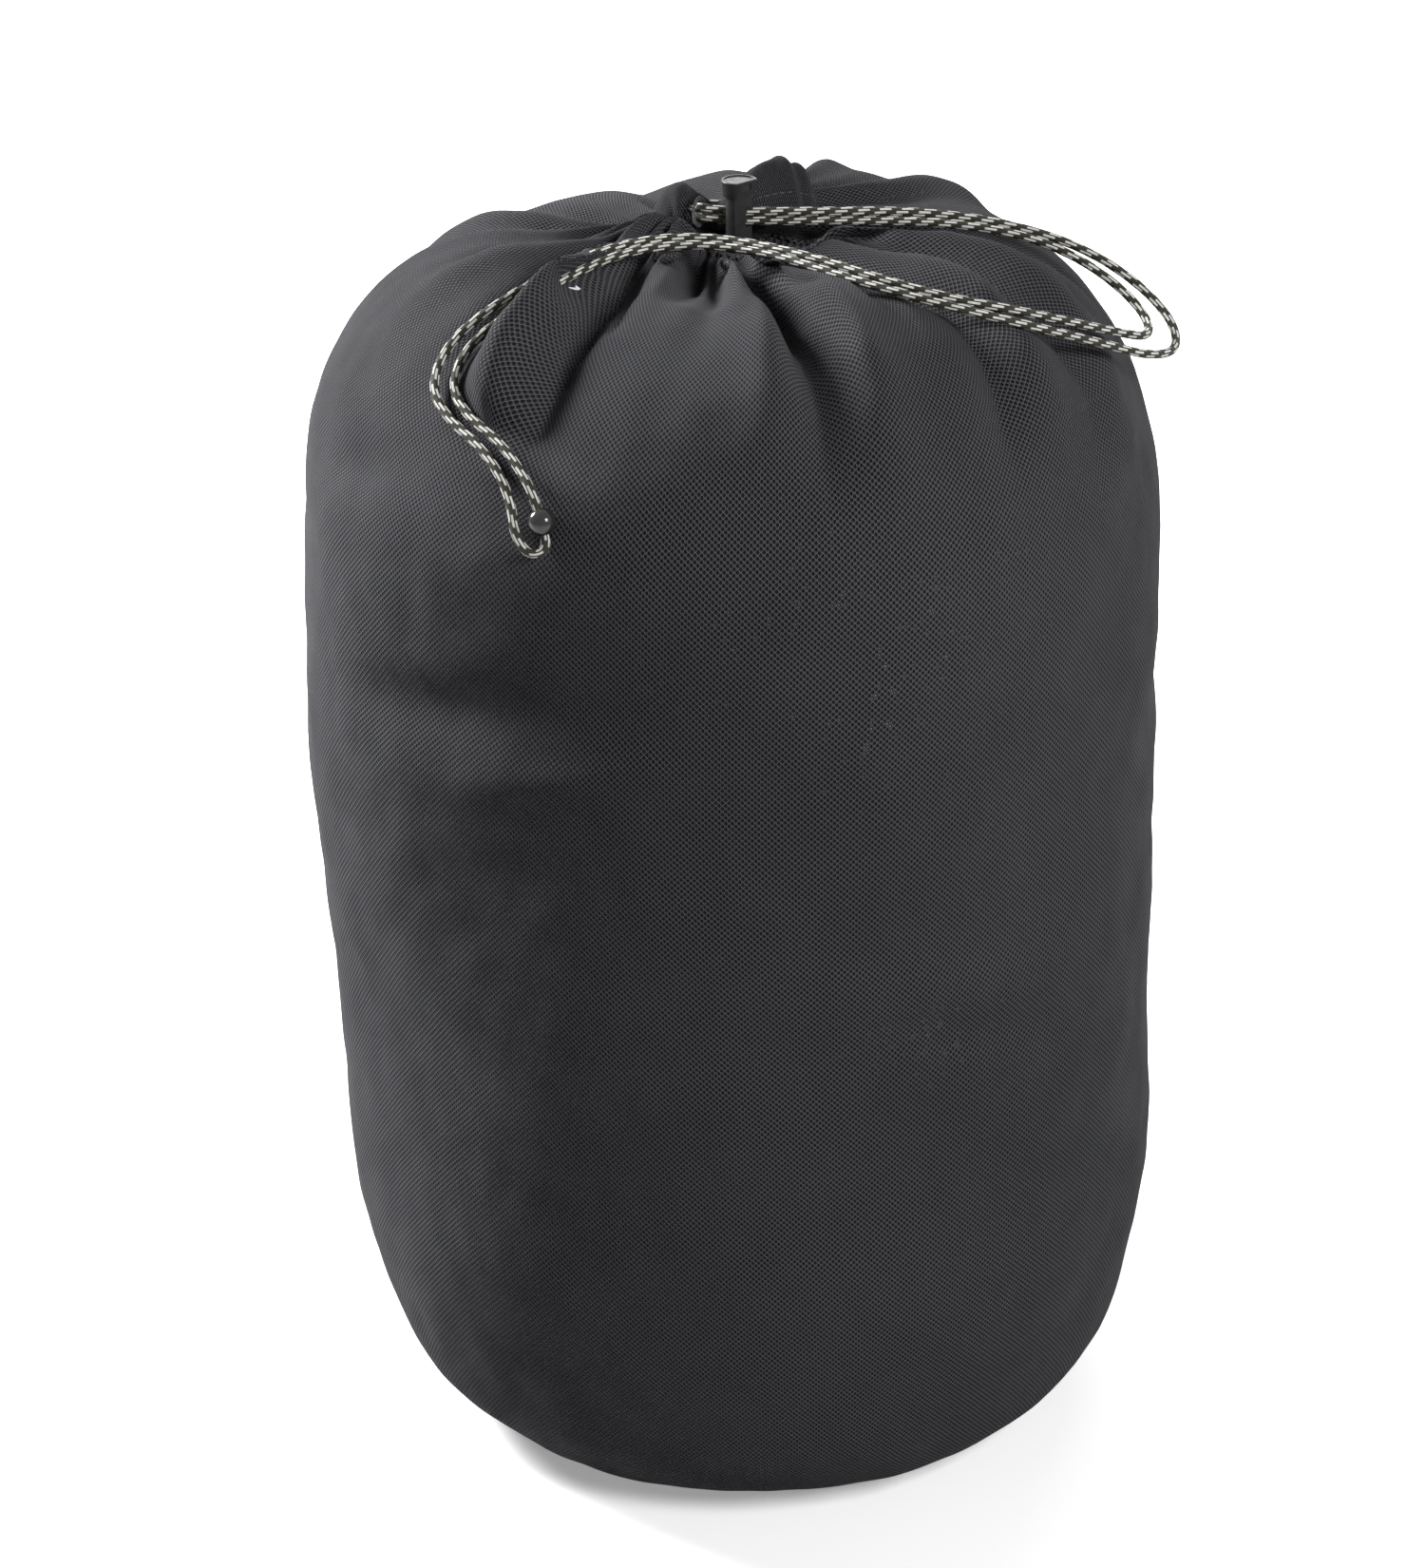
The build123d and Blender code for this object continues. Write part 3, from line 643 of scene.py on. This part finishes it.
def fold_height(theta, s, folds):
    """Height in metres that the folds give at azimuths theta (radians) and cloth places s."""
    total = np.zeros_like(theta)
    mm = s * 1000
    reach = np.minimum(mm, SACK_RADIUS * 1000)
    for fold in folds:
        at, azimuth, width, height = np.array(fold, float).T
        middle = np.radians(np.interp(mm, at, azimuth))
        w = np.interp(mm, at, width)
        h = np.interp(mm, at, height) * smooth(mm, at[0] - 14, at[0] + 4)
        off = (np.mod(theta - middle + math.pi, 2 * math.pi) - math.pi) * reach
        # Ridges are round and valleys end in a crease.
        total += h * np.exp(-(np.abs(off / w) ** np.where(h < 0, 1.35, 2.0)))
    return total * FOLD_GAIN / 1000


def turn_from(theta, azimuth):
    """Degrees round from an azimuth."""
    return (np.degrees(theta) - azimuth + 180) % 360 - 180


def small_pleats(theta, s):
    """The many narrow pleats at the mouth, which run together further out."""
    total = np.zeros_like(theta)
    for count, phase, near, far, height in (
        (37, 0.3, 0.030, 0.080, 0.0017), (23, 1.9, 0.040, 0.110, 0.0019),
        (53, 0.8, 0.022, 0.052, 0.0011), (29, 2.6, 0.050, 0.130, 0.0010),
    ):
        wander = phase + 1.3 * np.sin(2 * theta + phase) + 0.8 * np.sin(3 * theta - phase)
        lean = 1.6 * smooth(s, near, far) * math.sin(phase * 5)
        wave = np.sin(count * theta + 4 * wander + lean)
        total += height * wave * smooth(s, 0.012, near) * (1 - smooth(s, near, far))
    return total


def cloth_noise(points, scale, seed):
    shift = Vector((seed * 13.7, seed * 5.1, seed * 9.3))
    return np.array([noise.noise(Vector(p) * scale + shift) for p in points.reshape(-1, 3)]).reshape(
        points.shape[:-1]
    )


ALL_FOLDS = FRONT_FOLDS + back_folds()
CORD_LINES = np.concatenate([spaced(line, 0.001)[0] for line in (LINE_A, LINE_B)])
LOCK_LOW, LOCK_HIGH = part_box("lock_barrel")
LOCK_TRAVEL = 0.015
LOCK_ROOM = 0.0016
LOWEST_CORD = 0.36  # cloth below this is clear of the cords
CORD_REACH = 0.015
DEEPEST_PUSH = 0.008
POCKET_HALF_WIDTH = 0.0065
POCKET_SLOPE = 0.015


def place_cloth(theta, s, inset=0.0):
    """Points of the cloth at azimuths and cloth places, moved inwards by inset."""
    at, normal = outline_at(s)
    height = fold_height(theta, s, ALL_FOLDS) + small_pleats(theta, s)
    z = at[..., 1]
    for azimuth, middle, half_angle, half_height, depth, tilt in SOFT_DENTS:
        off = turn_from(theta, azimuth)
        level = middle + tilt * off / half_angle
        height = height + 1.2 * depth * np.exp(-((off / half_angle) ** 2) * 2) * np.exp(
            -(((z - level) / half_height) ** 2)
        ) * (s > 0.15)
    # Broad lumps of the filling.
    height = height + 0.0016 * np.sin(2 * theta + 0.7 + 9 * z) * smooth(s, 0.10, 0.22) * smooth(
        CLOTH_LENGTH - s, 0.03, 0.14
    )
    height = height + 0.0010 * np.sin(5 * theta + 1.9 - 21 * z) * smooth(s, 0.12, 0.25) * smooth(
        CLOTH_LENGTH - s, 0.03, 0.16
    )
    height = height + 0.0026 * np.exp(-(((z - 0.31) / 0.10) ** 2)) - inset
    for side, middle, half_height, depth in SIDE_FLATS:
        level = np.exp(-(((z - middle) / half_height) ** 2))
        height = height - depth * level * np.maximum(0, side * np.cos(theta))
    radius = at[..., 0] + normal[..., 0] * height
    level = z + normal[..., 1] * height
    x, y = radius * np.cos(theta), radius * np.sin(theta)
    # The filled sack leans a little: the middle line wanders to the left half way up.
    lean = -0.0058 * np.exp(-(((z - 0.30) / 0.13) ** 2)) + 0.004 * np.exp(-((z / 0.10) ** 2))
    x = x + lean * smooth(s, 0.06, 0.16)
    # The back of the dome is lower on the left.
    dome = np.exp(-(((s - 0.06) / 0.055) ** 2))
    for azimuth, half_width, rise in DOME_LEVELS:
        level = level + dome * rise * np.exp(-((turn_from(theta, azimuth) / half_width) ** 2))
    # The right shoulder is fuller lower down, and slopes away under the loop of cord.
    slope = np.exp(-(((s - 0.125) / 0.032) ** 2)) * np.exp(-((turn_from(theta, 8) / 38) ** 2))
    level = level - 0.0050 * slope
    # At the mouth the cloth draws in to the gather and rises into the hem.
    pull = (1 - smooth(s, 0.012, 0.075)) * 0.85
    x = x + MOUTH.x * pull
    y = y + MOUTH.y * pull
    level = level + 0.0065 * (1 - smooth(s, 0.010, 0.034)) * (y > -0.02)
    return np.stack([x, y, level], -1)


def push_off_cords(points, normals, clearance):
    """Cloth under a cord is pressed down to lie against it."""
    tree = KDTree(len(CORD_LINES))
    for k, p in enumerate(CORD_LINES):
        tree.insert(p, k)
    tree.balance()
    flat, out = points.reshape(-1, 3), normals.reshape(-1, 3)
    pushes = np.zeros(len(flat))
    for i in np.flatnonzero(flat[:, 2] > LOWEST_CORD):
        push = 0.0
        for at, _, _ in tree.find_range(flat[i], CORD_REACH):
            gap = np.array(at) - flat[i]
            above = gap @ out[i]
            aside = math.sqrt(max(0.0, gap @ gap - above * above))
            wanted = clearance * math.exp(-((max(0.0, aside - 0.0008) / 0.0038) ** 2))
            beside = min(1.0, max(0.0, (above + 0.009) / 0.004))
            push = max(push, (wanted - above) * beside * math.exp(-((aside / 0.009) ** 4)))
        pushes[i] = min(push, DEEPEST_PUSH)
    pushes = pushes.reshape(points.shape[:-1])
    moved = points - normals * np.maximum(pushes, softened(pushes))[..., None]
    return moved


def softened(field, rounds=5):
    """A field over the cloth's grid, averaged with its neighbours a few times."""
    for _ in range(rounds):
        field = (np.roll(field, 1, 1) + 2 * field + np.roll(field, -1, 1)) / 4
        inner = (field[:-2] + 2 * field[1:-1] + field[2:]) / 4
        field = np.concatenate([field[:1], inner, field[-1:]])
    return field


def make_room_for_lock(points):
    """A pocket in the cloth for the lock along its slide."""
    x, y, z = points[..., 0], points[..., 1], points[..., 2]
    low, high = LOCK_LOW.x - LOCK_ROOM, LOCK_HIGH.x + LOCK_TRAVEL + LOCK_ROOM
    beyond = np.maximum(0, np.maximum(low - x, x - high))
    across = np.maximum(0, np.abs(y - (LOCK_LOW.y + LOCK_HIGH.y) / 2) - POCKET_HALF_WIDTH)
    away = np.sqrt(beyond ** 2 + across ** 2)
    floor = LOCK_LOW.z - 0.0008
    share = 1 - smooth(away, 0.0, POCKET_SLOPE)
    drop = np.maximum(0, z - floor) * share
    z = z - np.maximum(drop, softened(drop))
    return np.stack([x, y, z], -1)


def grid_normals(points):
    """Outward normals of a grid of points that closes on itself sideways."""
    across = np.roll(points, -1, 1) - np.roll(points, 1, 1)
    along = np.gradient(points, axis=0)
    normal = np.cross(along, across)
    length = np.linalg.norm(normal, axis=-1, keepdims=True)
    return normal / np.maximum(length, 1e-12)


def cloth_rows():
    """Places of the rows of cloth: close together over the folded top, wider down the wall."""
    return np.r_[
        np.linspace(0.004, 0.19, 110), np.linspace(0.19, 0.42, 66)[1:],
        np.linspace(0.42, CLOTH_LENGTH - 0.0005, 52)[1:],
    ]


def cloth_grid(inset=0.0, rows=None, theta=None):
    """Points of the cloth in rows and columns, with each one's cloth place and azimuth."""
    rows = cloth_rows() if rows is None else rows
    if theta is None:
        theta = np.arange(COLUMNS) / COLUMNS * 2 * math.pi + math.pi / 2
    s, t = np.meshgrid(rows, theta, indexing="ij")
    return place_cloth(t, s, inset), s, t


def thicken(piece, thickness, offset):
    solid = piece.modifiers.new("thickness", "SOLIDIFY")
    solid.thickness = thickness
    solid.offset = offset


def make_side_panel():
    points, s, theta = cloth_grid()
    normals = grid_normals(points)
    points = push_off_cords(points, normals, CORD_DIAMETER / 2 + 0.0003)
    points = make_room_for_lock(points)
    wrinkle = cloth_noise(points, 70.0, 1) * 0.0005 + cloth_noise(points, 22.0, 2) * 0.0012
    points = points + normals * (wrinkle * smooth(s, 0.03, 0.08))[..., None]
    points[..., 2] = np.maximum(points[..., 2], 0.0002)
    # UVs in metres of cloth: across by girth, along by the distance from the mouth.
    around = np.linspace(0, GIRTH, COLUMNS + 1)
    uv = np.stack(np.meshgrid(s[:, 0], around, indexing="ij")[::-1], -1)
    panel = grid_mesh("side_panel_cloth", points, MESH, uv, flip=True)

    def off(azimuth, width):
        return np.exp(-((turn_from(theta, azimuth) / width) ** 2))

    z = points[..., 2]
    pale = (
        off(-72, 26) * np.exp(-(((z - 0.345) / 0.045) ** 2))
        + 0.8 * off(-62, 14) * np.exp(-(((z - 0.205) / 0.018) ** 2))
        + 0.9 * off(150, 28) * smooth(z, 0.425, 0.440)
        + 0.9 * off(50, 26) * smooth(z, 0.430, 0.442)
        + 0.7 * off(120, 40) * np.exp(-(((z - 0.25) / 0.05) ** 2))
    )
    attribute = panel.data.attributes.new("pale_fill", "FLOAT", "POINT")
    attribute.data.foreach_set("value", np.clip(pale, 0, 1).reshape(-1).astype(np.float32))
    thicken(panel, 0.0008, -1)
    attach(panel, "sack")
    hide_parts("side_panel")
    return panel


side_panel = make_side_panel()


# ------------------------------------------------------------------ stuffing, base and seams
BACK = math.pi / 2  # azimuth of the side seam
STUFFING_INSET = 0.012
TAPE_THICKNESS = 0.0008
SIDE_SEAM_WIDTH = 0.010
BASE_TAPE = (0.083, 0.090)
STITCH_LENGTH = 0.0028
STITCH_GAP = 0.0007
THREAD_RADIUS = 0.0003
BASE_RINGS = 40
BASE_SPOKES = 184
BASE_PUCKERS = 46
BASE_LINE_POINTS = 500
STUFFING_COLUMNS = 160


def joined(name, parts, material, node):
    """Many small meshes as one piece that stands for a CAD node."""
    vertices, faces, first = [], [], 0
    for points, corners in parts:
        vertices.append(points)
        faces.append(corners + first)
        first += len(points)
    data = bpy.data.meshes.new(name)
    data.from_pydata(np.concatenate(vertices).tolist(), [], np.concatenate(faces).tolist())
    data.polygons.foreach_set("use_smooth", np.ones(len(data.polygons), bool))
    data.materials.append(material)
    data.update()
    piece = bpy.data.objects.new(name, data)
    scene.collection.objects.link(piece)
    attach(piece, "sack")
    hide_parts(node)
    return piece


def thread_bead(start, end, radius, sides=6):
    """One stitch: a little rounded length of thread from start to end."""
    start, end = np.array(start, float), np.array(end, float)
    along = end - start
    length = np.linalg.norm(along)
    along /= length
    side = np.cross(along, (0.31, 0.17, 0.93))
    side /= np.linalg.norm(side)
    up = np.cross(along, side)
    points = []
    for share, size in ((0, 0.25), (0.12, 0.85), (0.5, 1.0), (0.88, 0.85), (1, 0.25)):
        for k in range(sides):
            turn = 2 * math.pi * k / sides
            away = math.cos(turn) * side + math.sin(turn) * up
            points.append(start + along * length * share + radius * size * away)
    faces = [
        (r * sides + k, r * sides + (k + 1) % sides, (r + 1) * sides + (k + 1) % sides, (r + 1) * sides + k)
        for r in range(4) for k in range(sides)
    ]
    return np.array(points), np.array(faces)


def stitched_line(points, radius=THREAD_RADIUS):
    """Stitches laid end to end along a line of points."""
    line, along = spaced(points, STITCH_LENGTH)
    parts = []
    for a, b in zip(line, line[1:]):
        gap = (b - a) * STITCH_GAP / STITCH_LENGTH / 2
        parts.append(thread_bead(a + gap, b - gap, radius))
    return parts


def make_stuffing():
    rows = np.r_[np.linspace(0.030, 0.42, 90), np.linspace(0.42, CLOTH_LENGTH - 0.002, 24)[1:]]
    theta = np.arange(STUFFING_COLUMNS) / STUFFING_COLUMNS * 2 * math.pi + BACK
    points, _, _ = cloth_grid(STUFFING_INSET, rows=rows, theta=theta)
    top, foot = points[0].mean(0), points[-1].mean(0)
    top[2] = points[0, :, 2].mean()
    foot[2] = 0.006
    points[..., 2] = np.maximum(points[..., 2], 0.005)
    cap, base = (np.repeat(p[None, None], STUFFING_COLUMNS, 1) for p in (top, foot))
    points = np.concatenate([cap, points, base])
    piece = grid_mesh("stuffing_bundle", points, STUFFING, flip=True)
    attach(piece, "sack")
    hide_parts("stuffed_contents")


def make_base():
    """The round base panel, drawn into fine puckers at its seam."""
    radius = np.linspace(0.0005, BASE_SEAM_RADIUS - 0.0002, BASE_RINGS)
    theta = np.arange(BASE_SPOKES) / BASE_SPOKES * 2 * math.pi
    r, t = np.meshgrid(radius, theta, indexing="ij")
    puckers = 0.0003 * np.sin(BASE_PUCKERS * t) * smooth(r, 0.070, 0.087)
    level = 0.0008 + puckers - 0.0003 * smooth(r, 0.05, 0.08)
    points = np.stack([r * np.cos(t), r * np.sin(t), level], -1)
    uv_theta = np.r_[theta, 2 * math.pi]
    ur, ut = np.meshgrid(radius, uv_theta, indexing="ij")
    uv = np.stack([ur * np.cos(ut), ur * np.sin(ut)], -1)
    piece = grid_mesh("base_cloth", points, MESH, uv, flip=True)
    thicken(piece, 0.0006, 0)
    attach(piece, "sack")
    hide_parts("base_panel")
    turns = np.linspace(0, 2 * math.pi, BASE_LINE_POINTS)
    r, t = np.meshgrid(np.linspace(*BASE_TAPE, 9), turns[:-1], indexing="ij")
    ribs = 0.00008 * np.sin(t * 700) + 0.0002 * np.sin(BASE_PUCKERS * t)
    tape = np.stack([r * np.cos(t), r * np.sin(t), 0.0022 + ribs], -1)
    tape = grid_mesh("base_binding", tape, TAPE)
    thicken(tape, TAPE_THICKNESS, 0)
    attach(tape, "sack")
    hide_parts("base_seam_tape")
    seam = BASE_SEAM_RADIUS - 0.001
    ring = np.stack([seam * np.cos(turns), seam * np.sin(turns), np.full_like(turns, 0.003)], -1)
    joined("base_stitching", stitched_line(ring), THREAD, "base_seam_stitches")


def make_side_seam():
    """The binding and its stitches up the back, inside the cloth."""
    rows = np.linspace(0.055, CLOTH_LENGTH - 0.010, 260)
    theta = BACK + np.linspace(-0.5, 0.5, 9) * SIDE_SEAM_WIDTH / SACK_RADIUS
    points, _, _ = cloth_grid(0.0022, rows=rows, theta=theta)
    tape = grid_mesh("side_binding", points, TAPE, closed=False, flip=True)
    thicken(tape, TAPE_THICKNESS, -1)
    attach(tape, "sack")
    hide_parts("side_seam_tape")
    line, _, _ = cloth_grid(0.0034, rows=rows, theta=np.array([BACK]))
    joined("side_stitching", stitched_line(line[:, 0]), THREAD, "side_seam_stitches")


make_stuffing()
make_base()
make_side_seam()


# ------------------------------------------------------------------ the gathered hem
# The hem is bunched into a curved ruffle: a tall lump at the left, low beside the cord, and a
# longer ruffle behind the lock. Its middle line, in plan, and its height and half thickness.
HEM_LINE = [
    # x, y, top, half thickness (mm)
    (-31, 9, 449, 4.5), (-27, 13, 455.5, 6.0), (-22, 14, 458.5, 6.3), (-16, 16, 454, 5.5),
    (-10, 17, 450, 4.5), (-4, 17, 455.5, 5.0), (3, 18, 463, 6.0), (10, 21, 465, 7.0),
    (18, 25, 462, 7.0), (26, 29, 454, 5.5),
]
HEM_FOOT = 0.441
HEM_PLEAT = 0.0088  # one pleat of the gathers
HEM_STEP = 0.0005
HEM_RINGS = 40


def hem_profile(share):
    """Half width and height shares of the hem's cross-section, from one foot over the top to the other."""
    turn = math.pi * share
    return math.cos(turn), math.sin(turn) ** 0.6


def hem_surface():
    line = np.array(HEM_LINE, float) / 1000
    knots = np.r_[0, np.cumsum(np.linalg.norm(np.diff(line[:, :2], axis=0), axis=1))]
    along = np.arange(0, knots[-1], HEM_STEP)
    smooth_line = np.stack([catmull(along, knots, line[:, k]) for k in range(4)], 1)
    tangent = np.gradient(smooth_line[:, :2], axis=0)
    tangent /= np.linalg.norm(tangent, axis=1)[:, None]
    side = np.stack([tangent[:, 1], -tangent[:, 0]], 1)
    ends = np.sqrt(smooth(along, 0, 0.006) * smooth(knots[-1] - along, 0, 0.008))
    shares = np.linspace(0, 1, HEM_RINGS)
    grid = np.zeros((len(along), HEM_RINGS, 3))
    for k, share in enumerate(shares):
        wide, tall = hem_profile(share)
        phase = 2 * math.pi * along / HEM_PLEAT + 1.5 * np.sin(along * 210 + 0.8) + 2.6 * share
        flute = (np.sin(phase) + 0.3 * np.sin(1.7 * phase + 1)) * (0.65 + 0.35 * np.sin(along * 120 + 2))
        half = smooth_line[:, 3] * (0.55 + 0.45 * ends) * (1.25 - 0.35 * tall)
        out = half * wide + 0.0008 * flute * np.sign(wide) * min(1, abs(wide) * 3)
        rise = (smooth_line[:, 2] - HEM_FOOT) * (0.35 + 0.65 * ends)
        level = HEM_FOOT + rise * tall + 0.0007 * flute * tall
        grid[:, k, :2] = smooth_line[:, :2] + side * out[:, None]
        grid[:, k, 2] = level
    return grid


def catmull(at, knots, values):
    """A smooth curve through the values at the knots."""
    slopes = np.gradient(values, knots)
    i = np.clip(np.searchsorted(knots, at, "right") - 1, 0, len(knots) - 2)
    gap = knots[i + 1] - knots[i]
    t = (at - knots[i]) / gap
    return (
        (2 * t ** 3 - 3 * t ** 2 + 1) * values[i] + (t ** 3 - 2 * t ** 2 + t) * gap * slopes[i]
        + (-2 * t ** 3 + 3 * t ** 2) * values[i + 1] + (t ** 3 - t ** 2) * gap * slopes[i + 1]
    )


def make_hem():
    grid = hem_surface()
    first, last = (np.repeat(grid[k].mean(0)[None, None], HEM_RINGS, 1) for k in (0, -1))
    closed = np.concatenate([first, grid, last])
    length = np.arange(len(closed)) * HEM_STEP * 3
    over = np.linspace(0, 0.05, HEM_RINGS + 1)
    uv = np.stack(np.meshgrid(length, over, indexing="ij"), -1)
    hem = grid_mesh("hem_ruffle", closed, MESH, uv)
    finer = hem.modifiers.new("smooth", "SUBSURF")
    finer.levels = finer.render_levels = 1
    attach(hem, "sack")
    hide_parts("hem_casing")
    return grid


hem_grid = make_hem()
HEM_STITCH_ROW = 0.14  # how far up the ruffle its row of stitches runs
row = int(HEM_STITCH_ROW * HEM_RINGS)
hem_side = hem_grid[:, row] + (hem_grid[:, row] - hem_grid[:, row + 3]) * 0.06
joined("hem_stitching", stitched_line(hem_side[8:-8], 0.00025), THREAD, "hem_stitches")

HIDDEN_CORD = [
    (-0.0162, 0.0056, 0.4505), (-0.019, 0.009, 0.4505), (-0.023, 0.015, 0.4505), (-0.017, 0.018, 0.450),
    (-0.008, 0.0185, 0.449), (0.002, 0.020, 0.450), (0.012, 0.023, 0.450), (0.018, 0.026, 0.449),
]


def make_hidden_cord():
    """The part of the drawcord inside the hem."""
    tube = braid_tube("cord_in_hem", spline_points("route_in_hem", HIDDEN_CORD))
    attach(tube, "sack")
    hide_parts("drawcord_in_hem")


make_hidden_cord()

BUTTONHOLE_HALF_WIDTH = 0.0024
BUTTONHOLE_HALF_HEIGHT = 0.0041
BUTTONHOLE_THREADS = 44


def make_buttonhole():
    """Satin stitches side by side round the slot where both strands leave the hem."""
    out = np.array([LOCK_LINE_X - EXIT_POINT[0], -EXIT_POINT[1], 0.0])
    out /= np.linalg.norm(out)
    side = np.array([-out[1], out[0], 0.0])
    middle = np.array([EXIT_POINT[0], EXIT_POINT[1], (UPPER + LOWER) / 2]) + out * 0.0004
    parts = []
    for k in range(BUTTONHOLE_THREADS):
        turn = 2 * math.pi * k / BUTTONHOLE_THREADS
        around = side * math.cos(turn) * BUTTONHOLE_HALF_WIDTH
        around = around + np.array([0, 0, 1.0]) * math.sin(turn) * BUTTONHOLE_HALF_HEIGHT
        away = around / np.linalg.norm(around)
        parts.append(thread_bead(middle + around - away * 0.0002, middle + around + away * 0.0014, 0.00028))
    joined("buttonhole_stitching", parts, THREAD, "exit_buttonhole")


make_buttonhole()


# ------------------------------------------------------------------ the pieces that CAD shows
def finish_cad(node, material):
    """A CAD node keeps its shape and takes a detailed material."""
    data = nodes[node].data
    data.materials.clear()
    data.materials.append(material)


for node in ("lock_barrel", "lock_plunger"):
    finish_cad(node, LOCK)
finish_cad("lock_spring", SPRING)
finish_cad("end_bead", BEAD)


# ------------------------------------------------------------------ floor and light
def seen_directly(tree):
    """1 for rays from the camera, a reflection or a clear thing, 0 for rays that light the object."""
    path = tree.nodes.new("ShaderNodeLightPath")
    total = path.outputs["Is Camera Ray"]
    for name in ("Is Glossy Ray", "Is Transmission Ray"):
        add = tree.nodes.new("ShaderNodeMath")
        add.operation = "MAXIMUM"
        tree.links.new(total, add.inputs[0])
        tree.links.new(path.outputs[name], add.inputs[1])
        total = add.outputs[0]
    return total


FLOOR_FAR = 0.62  # distance from the sack where the floor is plain white


def make_floor():
    """A white floor that keeps the sack's soft shadow and goes to plain white further out."""
    bpy.ops.mesh.primitive_plane_add(size=12, location=(0, 0, 0))
    floor = bpy.context.object
    floor.name = "floor"
    m = Shader("floor")
    seen = seen_directly(m.tree)
    length = m.add("ShaderNodeVectorMath", operation="LENGTH")
    m.link(m.place(), length.inputs[0])
    away = m.ramp(length.outputs["Value"], 0.17, FLOOR_FAR, 0.30, 0.95)
    m.set(
        Base_Color=m.mix(seen, colour(0.15, 0.15, 0.15), colour(0.92, 0.92, 0.92)),
        Roughness=0.9,
        Specular_IOR_Level=0.1,
        Emission_Color=colour(1, 1, 1),
        Emission_Strength=m.math("MULTIPLY", seen, away),
    )
    floor.data.materials.append(m.material)


def make_lamp(name, at, target, size, watts):
    data = bpy.data.lights.new(name, "AREA")
    data.shape = "RECTANGLE"
    data.size, data.size_y = size
    data.energy = watts
    lamp = bpy.data.objects.new(name, data)
    scene.collection.objects.link(lamp)
    lamp.location = at
    lamp.rotation_euler = (Vector(target) - Vector(at)).to_track_quat("-Z", "Y").to_euler()


AMBIENT = 0.10


def make_world():
    world = bpy.data.worlds.new("world")
    scene.world = world
    world.use_nodes = True
    tree = world.node_tree
    background = tree.nodes["Background"]
    background.inputs["Color"].default_value = colour(1, 1, 1)
    level = tree.nodes.new("ShaderNodeMapRange")
    tree.links.new(seen_directly(tree), level.inputs["Value"])
    level.inputs["To Min"].default_value = AMBIENT
    level.inputs["To Max"].default_value = 1.0
    tree.links.new(level.outputs[0], background.inputs["Strength"])


make_floor()
make_world()
make_lamp("left", (-1.35, 0.66, 1.15), (0, 0, 0.32), (0.5, 0.7), 92)
make_lamp("right_front", (0.95, -1.1, 1.2), (0, 0, 0.30), (0.5, 0.6), 30)
make_lamp("back", (0.4, 1.4, 1.2), (0, 0, 0.35), (1.0, 0.6), 10)
